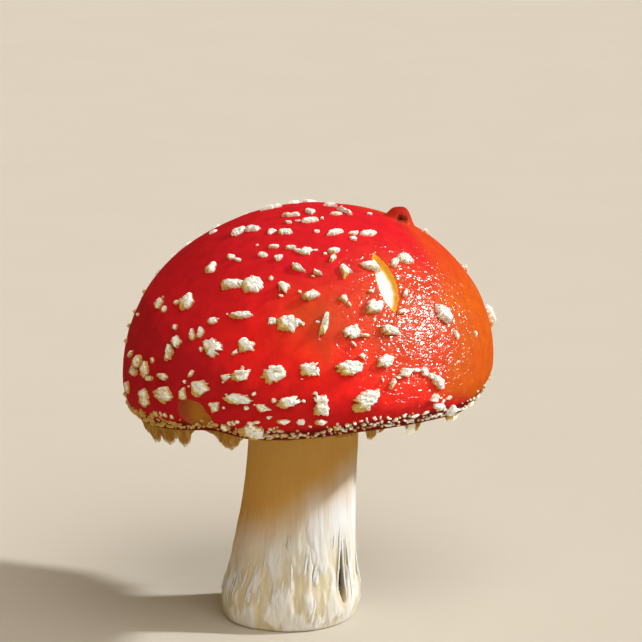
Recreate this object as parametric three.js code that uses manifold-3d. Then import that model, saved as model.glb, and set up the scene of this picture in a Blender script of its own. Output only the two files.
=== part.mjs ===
// A young fly agaric, Amanita muscaria, as picked: a domed cap set with warts, the gills under
// it, the ring and the stem, which stands on the flat cut through its bulb.
// Millimetres, +Z up. The origin is the centre of the cut face. Azimuths are in degrees round
// the cap's axis, 0 at -Y and growing towards +X. Polar angles are in degrees down from the
// crown: 90 is the cap's widest level, and the margin lies a little past it.
import * as THREE from "three";
import { mergeVertices } from "three/addons/utils/BufferGeometryUtils.js";
import Module from "manifold-3d";

// Driving dimensions of the cap
const CAP_RADIUS = 50;
const DOME_HEIGHT = 43.6; // from the widest level up to the crown
const TURN_IN_HEIGHT = 19.6; // half-height of the ellipse that turns in below the widest level
const MARGIN_POLAR = 111;
const DOME_FULLNESS = 0.96; // under 1 fills the ellipse's shoulders out
const WIDEST_LEVEL = 69.7; // above the cut face
const CAP_CENTRE_X = 5.4; // the stem leans, so the cap sits this far off the cut face's centre
const CAP_TILT = 2.9; // degrees by which the +X side of the margin is raised
const SHOULDER_LIFT = 0.9; // of the +X shoulder, and the -X one is as much lower
// How far the margin waves up and down, as [azimuth, lift], and the heights below the widest
// level over which the skin comes to follow it
const MARGIN_LIFTS = [
  [-180, 0.2], [-150, 0.3], [-120, -0.5], [-90, -1.2], [-75, -1.3], [-60, -1.1], [-52.5, -0.4],
  [-45, 0.2], [-37.5, 1.2], [-30, 1.5], [-22.5, 0.3], [-15, -0.2], [-7.5, -0.1], [0, 0.1],
  [7.5, 0.5], [15, 0.8], [30, 0.7], [45, 0.2], [60, -0.6], [67.5, -0.7], [75, -0.2], [90, 0.4],
  [120, 0.2], [150, -0.3], [180, 0.2],
];
const LIFTED_BAND = [0, 7];
const SKIN_POLARS = [0, 10, 21, 32, 43, 54, 65, 76, 87, 96, 104, MARGIN_POLAR];
const CAP_COLUMNS = 48;

// Flesh, gills and gaps
const PIECE_GAP = 0.3;
const RIM_GAP = 0.6; // over the gills beyond RIM_RADIUS, where the margin waves
const RIM_RADIUS = 40;
const FLESH_HEIGHT = 17.5; // of the cap's underside over the widest level, at the stem
const FLESH_UNDERSIDE = [
  [45.4, -6.9],
  [44.6, -5.7],
  [41, 1.6],
  [34, 8.8],
  [25, 14.4],
  [14.8, FLESH_HEIGHT],
]; // radius and height over the widest level, from the lip to the stem
const GILL_COUNT = 72;
const GILL_THICKNESS = 0.8;
const GILL_WEB = 0.9; // flesh that joins the gills above their grooves
const GILL_EDGE = [
  [43.9, -6.8],
  [29, 0.9],
  [16.2, 9.6],
]; // radius and height of the free edge of a full gill
const SHORT_GILL_SPAN = [27, 35]; // radii over which every second gill rises out of its groove

// Driving dimensions of the stem, as [height, radius] up from the cut face
const STEM_TOP = WIDEST_LEVEL + FLESH_HEIGHT - PIECE_GAP;
const STEM_PROFILE = [
  [0, 17.6],
  [4, 18.9],
  [8, 19.1],
  [12.7, 17.9],
  [18, 17],
  [23.7, 16.3],
  [31, 15.6],
  [38, 15.2],
  [47, 15],
  [60, 14.5],
  [STEM_TOP, 14.1],
];
const STEM_COLUMNS = 40;
const LEAN = 5.1; // of the stem's axis towards +X
const LEAN_END = 72; // height above which the axis is upright
const LEAN_EASE = 1.4; // above 1, the axis leans more at the foot than higher up
const STEM_LEVELS = [0, 1.5, 4.5, 7.5, 10.5, 13.5, 16.5, 19.5, 23, 26.5, 30, 36, 46, 60, 74, STEM_TOP];
// Upright flakes of torn fibre on the bulb: heights where they are boldest and where they end
const FLAKE_SPAN = [14, 34];
const FLAKE_RELIEF = 1.3;
const FLAKE_RUN = 3; // levels that one flake covers
const SPLIT = { azimuth: 51, width: 16, height: 15, halfHeight: 9, depth: 3 };

// The ring hangs from the top of the stem like a short skirt.
const RING_PROFILE = [
  [14.8, -2.2],
  [17.6, -3],
  [20.6, -6.4],
  [22.2, -11.8],
]; // radius and height over the widest level of its upper face
const RING_THICKNESS = 0.9;
const RING_COLUMNS = 40;
const RING_FOLDS = 8;
const RING_WAVE = 0.6; // depth of the folds at the hem

// Warts on the near side: azimuth, polar angle, width round the cap, length down it, and turn
// in degrees where they slant.
const NEAR_WARTS = [
  [9, 6, 3, 4.2], [-28.5, 10, 5, 1.8, 25], [2, 14, 5, 1.8, 7], [46, 11, 3, 1.7, -20],
  [-115, 11.5, 3, 5.2, 25], [-160, 12, 3.4, 3], [178, 14, 3.4, 3], [112, 7, 2.6, 4.8, -40],
  [66.5, 12, 1.6, 6, -32], [-87, 29.3, 2.4, 2.2], [-59.5, 24.5, 4, 4.2, -30],
  [-49, 21.3, 4.5, 2.4, 20], [-30, 21.6, 2.5, 2.6], [-18, 21.6, 4, 2.4], [7, 21.4, 1.6, 1.6],
  [19.5, 23.7, 4.6, 2, 5], [33, 25.2, 2.8, 1.4, -10], [42, 26.9, 4.4, 2, -15],
  [30, 28.3, 2.6, 2.3], [-20, 29.6, 2.9, 1.4], [-10, 30, 2.8, 1.3], [-0.5, 32, 3.3, 2.8],
  [-24, 33.8, 2.6, 1.4], [-15, 34.9, 2.4, 2.2], [14, 33.1, 3.6, 1.5], [12.5, 36.2, 1.6, 2.8, -30],
  [-41.5, 36.1, 2.6, 1.8], [98, 38.5, 2.6, 2.4], [-47, 42, 2.4, 4, 13],
  [-4.5, 39.5, 3.8, 1.5, -35], [4, 42, 3.3, 1.3, -30], [16.5, 42.2, 3.8, 3.6],
  [29, 41.6, 4.6, 3.4, -20], [41.5, 42.2, 3.6, 2, 35], [48, 41.6, 5, 3, -25], [97, 57, 3.2, 3],
  [-32, 47.4, 5.6, 4.2, 11], [-22.5, 46.4, 5.2, 5, 9], [-10, 47.4, 3.2, 4.1, 30],
  [1, 51, 5.1, 4.2], [13.5, 52.8, 2.6, 2.2], [38, 54, 1.5, 2.8, -29], [-64, 59.3, 3.4, 3.1],
  [-48, 56, 4.9, 4.5, -20], [-23.5, 58.6, 6.8, 1.8, 6], [24, 57, 5.4, 3.3], [-12, 60, 2.2, 2.2],
  [-6.5, 60.6, 6, 4.6], [5.5, 61.5, 2, 6.1, -19], [34, 60.3, 2.6, 1.4], [-33.5, 61, 3.4, 1.6, 25],
  [51, 64.8, 4.2, 6.2, 39], [-49, 65, 1.8, 1.9], [-40, 66.4, 1.4, 3.9, 31], [-37, 65.4, 2.2, 3.1],
  [14, 65, 4.3, 3.7], [27, 65.8, 5.4, 2.7, -17], [-20, 68, 4.8, 4.6], [-46, 69.7, 2.8, 4.1, -21],
  [-31, 70, 5.9, 5.1], [-48, 73.2, 2.2, 4.1], [17, 73.2, 1.8, 1.9], [53.5, 72.6, 1.2, 2.4, 20],
  [92, 76, 4, 5.5], [-72, 78.5, 2.8, 1.6, 40], [-64.5, 79.3, 3, 4.4, -35],
  [-66.5, 83.2, 3.8, 3.2], [-59, 81.4, 2.8, 4, -35], [-56, 83.2, 3.2, 1.6, 15],
  [-49, 81.3, 3.8, 1.7, -9], [-25, 79, 3.1, 1.8, 16], [-20.5, 78, 4.8, 2.9, 10],
  [-10, 77.3, 6.3, 4.8], [1, 76, 6.4, 5.1], [13, 77, 6.6, 3.9], [24, 76, 4.6, 3.1],
  [26, 83.7, 1.4, 3.2, -37], [30.5, 80.6, 4.8, 2.4, 10], [37.5, 82, 2.5, 2, -34],
  [42, 86, 5.3, 2.8, -41], [-72, 89.5, 2, 3], [-58, 90, 4.2, 3.8], [-48, 87.2, 6.6, 4.5, 11],
  [-40, 86, 2.2, 3.6, -10], [-34, 83.3, 5.6, 4, 14], [-28.5, 88.7, 3.8, 2.8], [-21, 86, 7, 2.8],
  [-13, 88.4, 4, 2.3, -17], [-5.5, 86.5, 6.3, 2.8, 7], [4, 88, 5.4, 6.2], [17, 88, 8.2, 4.6, 10],
  [41, 92.5, 3.3, 2.4, -12], [43, 99.7, 4.2, 1.5, -10], [-7, 95.5, 3, 1.4], [-2, 96.4, 2.8, 1.4],
  [4, 97.6, 3, 1.4], [-26, 104.5, 2.4, 2], [-16.5, 104, 6.4, 4.2], [51.5, 107, 3, 3.4],
];
const WART_THICKNESS = 0.42; // share of a wart's mean width by which it stands out
const WART_ROOT = 1.3;
const WART_TAPER = 0.72; // of its top's width to its foot's
const WART_SIDES = [[2.9, 4], [4.8, 5], [9, 6]]; // up to each width, so many sides

// Warts on the far side: polar angle of each row, how many, their mean width and how far round
// they reach to each side of +Y
const FAR_ROWS = [
  [29, 3, 3.4, 32],
  [38, 4, 3.8, 48],
  [47, 5, 4.2, 58],
  [56, 6, 4.5, 64],
  [65, 7, 4.8, 68],
  [74, 7, 5, 72],
  [83, 7, 5.2, 74],
  [92, 6, 4.8, 74],
];

// Crumbs of veil on the margin, and the torn flaps that hang from it
const CRUMB_COUNT = 24;
const CRUMB_BAND = [101, 107.5]; // polar angles
const CRUMB_SIZES = [[1.8, 3.4], [1, 1.7]]; // least and most width, then length
const CRUMB_HEIGHT = 0.7;
const NEAR_FLAPS = [
  [-74, 6, 2.6], [-63, 7.5, 4.8], [-53.5, 7, 5.6], [-44.5, 6, 5], [-25.7, 6, 5.6], [0, 4, 1],
  [13, 5, 2.2], [21.5, 4, 3.6], [35.7, 3.4, 4], [58, 6.5, 3], [70, 5, 1.4],
]; // azimuth, width and hang
const FAR_FLAP_COUNT = 15;
const FAR_FLAP_SPAN = [82, 270];
const FAR_FLAP_WIDTH = [3.6, 6.6];
const FAR_FLAP_HANG = [1.2, 4];
const FLAP_ROOT = 2.4;
const FLAP_THICKNESS = 1.4;

// Two places grazed by slugs: azimuth, polar angle, width, length, depth and turn
const GRAZES = [
  [33, 47.8, 5.6, 19, 1.3, -7],
  [-35.3, 97, 9, 10.5, 1.3, 30],
];
// A lip of skin pushed up on the shoulder: azimuth, polar angle, and its reach along X, Y and Z
const SKIN_LIP = [94, 28.5, 3.4, 2.4, 4.2];

const CREAM = 0xf1e6c8;
const SEED = 20261;

const wasm = await Module();
wasm.setup();

const radians = THREE.MathUtils.degToRad;

// A small repeatable random generator, the same on every machine.
function randomFrom(seed) {
  let state = seed;
  return () => {
    state = (state * 16807) % 2147483647;
    return state / 2147483647;
  };
}

function mix(a, b, share) {
  return a + (b - a) * share;
}

// The value of a [position, value] list at a position, in straight steps.
function along(list, position) {
  const rising = list[0][0] < list.at(-1)[0] ? list : [...list].reverse();
  const next = rising.findIndex(([at]) => at >= position);
  if (next === 0) return rising[0][1];
  if (next < 0) return rising.at(-1)[1];
  const [before, after] = [rising[next - 1], rising[next]];
  return mix(before[1], after[1], (position - before[0]) / (after[0] - before[0]));
}

// A closed surface on a grid: point(row, azimuth in degrees) for rows of columns. A body on the
// axis closes on its first and last rows, which are single points. A ring's rows form a loop.
function turned(azimuths, rows, isRing, point) {
  const positions = [];
  const indices = [];
  const columns = azimuths.length;
  const isPole = (row) => !isRing && (row === 0 || row === rows - 1);
  const starts = [];
  for (let row = 0; row < rows; row++) {
    starts.push(positions.length / 3);
    const shown = isPole(row) ? [0] : azimuths;
    shown.forEach((azimuth) => positions.push(...point(row, azimuth).toArray()));
  }
  const vertex = (row, column) =>
    starts[row % rows] + (isPole(row % rows) ? 0 : column % columns);
  for (let row = 0; row < (isRing ? rows : rows - 1); row++) {
    for (let column = 0; column < columns; column++) {
      const a = vertex(row, column);
      const b = vertex(row, column + 1);
      const c = vertex(row + 1, column + 1);
      const d = vertex(row + 1, column);
      if (a !== b) indices.push(a, c, b);
      if (c !== d) indices.push(a, d, c);
    }
  }
  const geometry = new THREE.BufferGeometry();
  geometry.setAttribute("position", new THREE.Float32BufferAttribute(positions, 3));
  geometry.setIndex(indices);
  return geometry;
}

function evenAzimuths(columns) {
  return Array.from({ length: columns }, (_, i) => (i * 360) / columns);
}

function solidFrom(geometry) {
  const bare = geometry.clone();
  bare.deleteAttribute("normal");
  bare.deleteAttribute("uv");
  const merged = mergeVertices(bare, 1e-4);
  return new wasm.Manifold(
    new wasm.Mesh({
      numProp: 3,
      vertProperties: new Float32Array(merged.attributes.position.array),
      triVerts: new Uint32Array(merged.index.array),
    }),
  );
}

function geometryFrom(solid) {
  const mesh = solid.getMesh();
  const geometry = new THREE.BufferGeometry();
  geometry.setAttribute("position", new THREE.BufferAttribute(mesh.vertProperties, 3));
  geometry.setIndex(new THREE.BufferAttribute(mesh.triVerts, 1));
  geometry.computeVertexNormals();
  return geometry;
}

// Puts a radius and a height over the widest level in their place on the tilted cap.
function capPlace(radius, height, azimuth) {
  const turn = radians(azimuth);
  const reach = (radius / CAP_RADIUS) ** 2;
  const x = radius * Math.sin(turn);
  const facing = THREE.MathUtils.euclideanModulo(azimuth + 180, 360) - 180;
  const lift = along(MARGIN_LIFTS, facing) * THREE.MathUtils.smoothstep(-height, ...LIFTED_BAND);
  return new THREE.Vector3(
    CAP_CENTRE_X + x,
    -radius * Math.cos(turn),
    WIDEST_LEVEL + height + x * Math.tan(radians(CAP_TILT)) * reach + lift,
  );
}

// A point of the cap's skin.
function skinPoint(polar, azimuth) {
  const angle = radians(polar);
  const isDome = polar <= 90;
  const radius = CAP_RADIUS * Math.sin(angle) ** (isDome ? DOME_FULLNESS : 1);
  const rise = Math.abs(Math.cos(angle)) ** DOME_FULLNESS;
  const point = capPlace(radius, isDome ? DOME_HEIGHT * rise : -TURN_IN_HEIGHT * rise, azimuth);
  const shoulder = polar < 60 ? Math.sin(3 * angle) ** 2 : 0;
  point.z += SHOULDER_LIFT * shoulder * Math.sin(radians(azimuth));
  return point;
}

// The frame of a place on the skin: x runs round the cap, y up it and z straight out of it.
function skinFrame(polar, azimuth, turn, raise) {
  const at = skinPoint(polar, azimuth);
  const round = skinPoint(polar, azimuth + 1).sub(skinPoint(polar, azimuth - 1)).normalize();
  const up = skinPoint(polar - 1, azimuth).sub(skinPoint(polar + 1, azimuth)).normalize();
  const out = new THREE.Vector3().crossVectors(round, up).normalize();
  up.crossVectors(out, round);
  const frame = new THREE.Matrix4().makeBasis(round, up, out);
  frame.setPosition(at.addScaledVector(out, raise));
  return frame.multiply(new THREE.Matrix4().makeRotationZ(radians(turn)));
}

// A flat-topped block with uneven corners, width by length by height, with its foot at z = 0.
function block(width, length, height, sides, random) {
  const shape = new THREE.CylinderGeometry(WART_TAPER, 1, height, sides, 1);
  shape.rotateX(Math.PI / 2);
  shape.translate(0, 0, height / 2);
  const corners = Array.from({ length: sides }, () => mix(0.86, 1.14, random()));
  const spot = shape.attributes.position;
  for (let i = 0; i < spot.count; i++) {
    const angle = Math.atan2(spot.getX(i), -spot.getY(i));
    const corner = Math.round((angle / (2 * Math.PI)) * sides + sides) % sides;
    spot.setX(i, (spot.getX(i) * corners[corner] * width) / 2);
    spot.setY(i, (spot.getY(i) * corners[corner] * length) / 2);
  }
  return shape;
}

function wart([azimuth, polar, width, length, turn = 0], random) {
  const height = WART_THICKNESS * Math.sqrt(width * length);
  const [, sides] = WART_SIDES.find(([most]) => Math.max(width, length) <= most);
  const shape = block(width, length, height + WART_ROOT, sides, random);
  return solidFrom(shape.applyMatrix4(skinFrame(polar, azimuth, turn, -WART_ROOT)));
}

// Warts on the far side, in rows, with the place, size and turn drawn afresh for each.
function farWarts(random) {
  return FAR_ROWS.flatMap(([polar, count, mean, reach]) =>
    Array.from({ length: count }, (_, i) => [
      mix(180 - reach, 180 + reach, (i + mix(0.25, 0.75, random())) / count),
      polar + mix(-3, 3, random()),
      mean * mix(0.7, 1.35, random()),
      mean * mix(0.55, 1.05, random()),
      mix(-25, 25, random()),
    ]),
  );
}

function marginCrumbs(random) {
  return Array.from({ length: CRUMB_COUNT }, (_, i) => {
    const azimuth = ((i + random()) * 360) / CRUMB_COUNT;
    const polar = mix(...CRUMB_BAND, random());
    const [width, length] = CRUMB_SIZES.map((range) => mix(...range, random()));
    const shape = block(width, length, CRUMB_HEIGHT + WART_ROOT, 4, random);
    return solidFrom(shape.applyMatrix4(skinFrame(polar, azimuth, 0, -WART_ROOT)));
  });
}

function farFlaps(random) {
  return Array.from({ length: FAR_FLAP_COUNT }, (_, i) => [
    mix(...FAR_FLAP_SPAN, (i + mix(0.2, 0.8, random())) / FAR_FLAP_COUNT),
    mix(...FAR_FLAP_WIDTH, random()),
    mix(...FAR_FLAP_HANG, random()),
  ]);
}

// A flap of torn veil that hangs straight down from inside the lip.
function flap([azimuth, width, hang], random) {
  const [lipRadius, lipHeight] = FLESH_UNDERSIDE[0];
  const shape = block(width, FLAP_THICKNESS, hang + FLAP_ROOT, 4, random);
  shape.rotateX(Math.PI);
  shape.rotateZ(radians(azimuth));
  const place = capPlace(lipRadius - FLAP_THICKNESS / 4, lipHeight + FLAP_ROOT, azimuth);
  shape.translate(...place.toArray());
  return solidFrom(shape);
}

// What a slug has grazed away: a shallow hollow cut by a flattened ball that sits just proud of
// the skin, so that its section at the skin has the width and the length given.
function graze([azimuth, polar, width, length, depth, turn]) {
  const ball = new THREE.SphereGeometry(1, 14, 10);
  const section = Math.sqrt(3) / 2; // half-way from the ball's centre to its pole
  ball.scale(width / 2 / section, length / 2 / section, depth * 2);
  return solidFrom(ball.applyMatrix4(skinFrame(polar, azimuth, turn, depth)));
}

function skinLip() {
  const [azimuth, polar, ...reach] = SKIN_LIP;
  const ball = new THREE.SphereGeometry(1, 10, 8);
  ball.scale(...reach);
  ball.translate(...skinPoint(polar, azimuth).toArray());
  return solidFrom(ball);
}

function capBody() {
  const rows = SKIN_POLARS.length + FLESH_UNDERSIDE.length + 1;
  return turned(evenAzimuths(CAP_COLUMNS), rows, false, (row, azimuth) => {
    if (row < SKIN_POLARS.length) return skinPoint(SKIN_POLARS[row], azimuth);
    const underside = FLESH_UNDERSIDE[row - SKIN_POLARS.length] ?? [0, FLESH_HEIGHT];
    return capPlace(...underside, azimuth);
  });
}

function capSolid() {
  const random = randomFrom(SEED);
  const warts = [...NEAR_WARTS, ...farWarts(random)];
  const flaps = [...NEAR_FLAPS, ...farFlaps(random)];
  return wasm.Manifold.union([
    solidFrom(capBody()).subtract(wasm.Manifold.union(GRAZES.map(graze))),
    skinLip(),
    ...warts.map((place) => wart(place, random)),
    ...marginCrumbs(random),
    ...flaps.map((place) => flap(place, random)),
  ]);
}

// The gills, as one ridged body. Each gill takes two of its three columns, one on each face of
// the blade, and the third runs along the groove.
function gillGeometry() {
  const pitch = 360 / GILL_COUNT;
  const edgeRows = GILL_EDGE.length;
  const gap = (radius) => (radius > RIM_RADIUS ? RIM_GAP : PIECE_GAP);
  const lowered = ([radius, height]) => [radius, height - gap(radius)];
  const under = (radius) => lowered([radius, along(FLESH_UNDERSIDE, radius)]);
  const heart = under(GILL_EDGE.at(-1)[0]);
  const rim = under(GILL_EDGE[0][0]);
  const top = [heart, ...FLESH_UNDERSIDE.slice(2, 5).reverse().map(lowered), rim];
  return turned(evenAzimuths(GILL_COUNT * 3), edgeRows + top.length, true, (row, azimuth) => {
    if (row >= edgeRows) return capPlace(...top[row - edgeRows], azimuth);
    const column = Math.round((azimuth / pitch) * 3);
    const [radius, low] = GILL_EDGE[row];
    const web = under(radius)[1] - GILL_WEB;
    if (column % 3 === 1) return capPlace(radius, web, azimuth + pitch / 6);
    const face = column % 3 === 0 ? 1 : -1;
    const gill = Math.round(azimuth / pitch);
    const rise = gill % 2 ? THREE.MathUtils.smoothstep(radius, ...SHORT_GILL_SPAN) : 1;
    const halfTurn = THREE.MathUtils.radToDeg(GILL_THICKNESS / 2 / radius);
    return capPlace(radius, mix(web, low, rise), gill * pitch + face * halfTurn);
  });
}

function stemAxisX(height) {
  const below = Math.max(0, 1 - height / LEAN_END);
  return LEAN * (1 - below ** LEAN_EASE);
}

// How far the flakes of fibre stand out, by level and column: each flake runs up a few levels
// and the ones beside it start a little higher or lower.
function flakeRelief(random) {
  const starts = evenAzimuths(STEM_COLUMNS).map(() => Math.floor(FLAKE_RUN * random()));
  const flakes = evenAzimuths(STEM_COLUMNS).map(() => STEM_LEVELS.map(() => mix(-0.4, 1, random())));
  return (level, column) => {
    const fade = 1 - THREE.MathUtils.smoothstep(STEM_LEVELS[level], ...FLAKE_SPAN);
    const flake = flakes[column][Math.floor((level + starts[column]) / FLAKE_RUN)];
    return level === 0 ? 0 : FLAKE_RELIEF * fade * flake;
  };
}

// Where the fibre has torn open, an upright split narrows above and below.
function splitDepth(height, azimuth) {
  const across = (azimuth - SPLIT.azimuth) / (SPLIT.width / 2);
  const upward = (height - SPLIT.height) / SPLIT.halfHeight;
  return SPLIT.depth * Math.max(0, 1 - across ** 2 - upward ** 2);
}

function stemGeometry() {
  const relief = flakeRelief(randomFrom(SEED + 1));
  const last = STEM_LEVELS.length - 1;
  return turned(evenAzimuths(STEM_COLUMNS), last + 3, false, (row, azimuth) => {
    const level = THREE.MathUtils.clamp(last + 1 - row, 0, last);
    const height = STEM_LEVELS[level];
    const column = Math.round((azimuth * STEM_COLUMNS) / 360);
    const isPole = row === 0 || row === last + 2;
    const skin = along(STEM_PROFILE, height) + relief(level, column);
    const radius = isPole ? 0 : skin - splitDepth(height, azimuth);
    const turn = radians(azimuth);
    return new THREE.Vector3(
      stemAxisX(height) + radius * Math.sin(turn),
      -radius * Math.cos(turn),
      height,
    );
  });
}

// The ring: a thin skirt round the top of the stem with a waved hem.
function ringGeometry() {
  const last = RING_PROFILE.length - 1;
  const span = RING_PROFILE[last][0] - RING_PROFILE[0][0];
  return turned(evenAzimuths(RING_COLUMNS), RING_PROFILE.length * 2, true, (row, azimuth) => {
    const isUpper = row <= last;
    const [radius, height] = RING_PROFILE[isUpper ? row : 2 * last + 1 - row];
    const fall = (radius - RING_PROFILE[0][0]) / span;
    const turn = radians(azimuth);
    const wave = RING_WAVE * fall ** 2 * Math.sin(turn * RING_FOLDS);
    const reach = radius + wave - (isUpper ? 0 : RING_THICKNESS * fall ** 0.5);
    const drop = isUpper ? 0 : RING_THICKNESS * (1 - 0.7 * fall);
    return new THREE.Vector3(
      stemAxisX(WIDEST_LEVEL + height) + reach * Math.sin(turn),
      -reach * Math.cos(turn),
      WIDEST_LEVEL + height - drop - wave * 0.6,
    );
  });
}

function piece(name, geometry, color, roughness) {
  const material = new THREE.MeshStandardMaterial({ color, roughness, metalness: 0 });
  const mesh = new THREE.Mesh(geometry, material);
  mesh.name = name;
  return mesh;
}

const mushroom = new THREE.Group();
mushroom.add(
  piece("cap", geometryFrom(capSolid()), 0xc8141a, 0.25),
  piece("gills", gillGeometry(), CREAM, 0.8),
  piece("ring", ringGeometry(), CREAM, 0.75),
  piece("stem", stemGeometry(), 0xf4efe2, 0.7),
);

export default mushroom;
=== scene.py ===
"""A fly agaric as picked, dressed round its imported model.

Shapes are worked out in millimetres in the part's own frame and turned into metres when their
meshes are made. Azimuths are degrees round the cap's axis, 0 at -Y and growing towards +X.
Polar angles are degrees down from the crown: 90 is the cap's widest level.
"""

import itertools
import math

import bpy
import numpy as np
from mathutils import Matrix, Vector


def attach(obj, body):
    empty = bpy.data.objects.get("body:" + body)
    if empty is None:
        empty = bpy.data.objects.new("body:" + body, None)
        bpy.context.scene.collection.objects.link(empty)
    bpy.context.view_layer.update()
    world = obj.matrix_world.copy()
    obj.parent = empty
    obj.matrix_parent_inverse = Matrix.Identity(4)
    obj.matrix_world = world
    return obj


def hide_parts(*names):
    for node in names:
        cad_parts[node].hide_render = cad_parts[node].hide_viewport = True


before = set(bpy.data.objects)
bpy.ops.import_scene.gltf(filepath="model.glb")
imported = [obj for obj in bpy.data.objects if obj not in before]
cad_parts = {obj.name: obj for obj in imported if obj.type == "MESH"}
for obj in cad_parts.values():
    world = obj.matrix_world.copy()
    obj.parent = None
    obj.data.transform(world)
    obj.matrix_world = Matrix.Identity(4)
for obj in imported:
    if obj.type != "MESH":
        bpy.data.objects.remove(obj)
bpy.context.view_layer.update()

MM = 0.001
FULL_TURN = 2 * np.pi
# Seeds: the one that the solids' draws start from, and one for each kind of small form
SEED = 20261
CROWN_SEED, FLANK_SEED, MARGIN_SEED, GILL_SEED, STEM_SEED = 11, 12, 23, 31, 41

# The cap, as in the solids
CAP_RADIUS, DOME_HEIGHT, TURN_IN_HEIGHT = 50, 43.6, 19.6
MARGIN_POLAR = 111
DOME_FULLNESS = 0.96
WIDEST_LEVEL = 69.7
CAP_CENTRE_X = 5.4
CAP_TILT = 2.9
# The +X shoulder's lift, and the polar angle at which it ends
SHOULDER_LIFT, SHOULDER_END = 0.9, 60
# How far the margin is lifted, as (azimuth, lift), and the turns over which it is eased
MARGIN_LIFTS = [
    (-180, 0.2), (-150, 0.3), (-120, -0.5), (-90, -1.2), (-75, -1.3), (-60, -1.1), (-52.5, -0.4),
    (-45, 0.2), (-37.5, 1.2), (-30, 1.5), (-22.5, 0.3), (-15, -0.2), (-7.5, -0.1), (0, 0.1),
    (7.5, 0.5), (15, 0.8), (30, 0.7), (45, 0.2), (60, -0.6), (67.5, -0.7), (75, -0.2), (90, 0.4),
    (120, 0.2), (150, -0.3),
]
LIFT_EASE = (-3, -1.5, 0, 1.5, 3)
# How far under the widest level that lift starts and is at its full
LIFTED_BAND = (0, 7)
FLESH_HEIGHT = 17.5
# Profiles are (radius, height over the widest level).
FLESH_UNDERSIDE = [(44.6, -5.7), (41, 1.6), (34, 8.8), (25, 14.4), (14.8, FLESH_HEIGHT)]
FLESH_MIDDLE = [(7, FLESH_HEIGHT), (1, FLESH_HEIGHT)]
LIP_PROFILE = [(46.5, -7.8), (46.2, -8.1), (45.7, -8.1), (45.2, -7.8), (44.9, -7.1)]
GILL_EDGE = [(43.9, -6.8), (38, -4.2), (29, 0.9), (22, 5.6), (16.2, 9.6)]
CAP_COLUMNS, CAP_ROWS = 420, 165

# The gills: blades in each group, as (where they start, their thickness)
GILL_GROUPS = 66
GILL_GROUP = [(16.3, 0.55), (36, 0.38), (27, 0.45), (35, 0.38)]
GILL_END = 44

# The stem and the ring, as in the solids
STEM_TOP = WIDEST_LEVEL + FLESH_HEIGHT - 0.3
STEM_PROFILE = [
    (0, 17.6), (4, 18.9), (8, 19.1), (12.7, 17.9), (18, 17), (23.7, 16.3), (31, 15.6),
    (38, 15.2), (47, 15), (60, 14.5), (STEM_TOP, 14.1),
]
# How far the stem leans towards +X, the height at which it has done so, and how it curves
LEAN, LEAN_END, LEAN_EASE = 5.1, 72, 1.4
# The heights between which the torn flakes die out
FLAKE_SPAN = (14, 34)
SPLIT = {"azimuth": 51, "width": 16, "height": 15, "half_height": 9, "depth": 3}
# How wide the split gapes from its foot to its top: a thin crack that opens towards the foot
SPLIT_GAPE = [(-1, 0.1), (-0.5, 0.36), (0.2, 0.24), (1, 0.07)]
# Strands that cross the split: azimuth, height and how far they stand off, from top to bottom
SPLIT_STRANDS = [
    [(46.5, 28, 0.0), (46, 23, 0.1), (43.5, 16, 0.2), (40, 8, 0.3)],
    [(49, 26, 0.0), (50, 21, 0.0), (52, 14, -0.1), (53, 6, 0.0)],
    [(54, 25, 0.0), (58, 19, 0.1), (60, 12, 0.2), (59, 5, 0.3)],
]
SLIVER_COUNT = 110
STEM_COLUMNS, STEM_ROWS, FOOT_RINGS = 360, 180, 22
RING_PROFILE = [
    (14.5, -2), (16, -2.2), (17.6, -3), (19.4, -4.8), (20.6, -6.6), (21.6, -9), (22.1, -11.4),
]
RING_FOLDS, RING_WAVE, RING_GROOVES = 8, 0.6, 132
RING_COLUMNS, RING_STEPS = 540, 34

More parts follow.
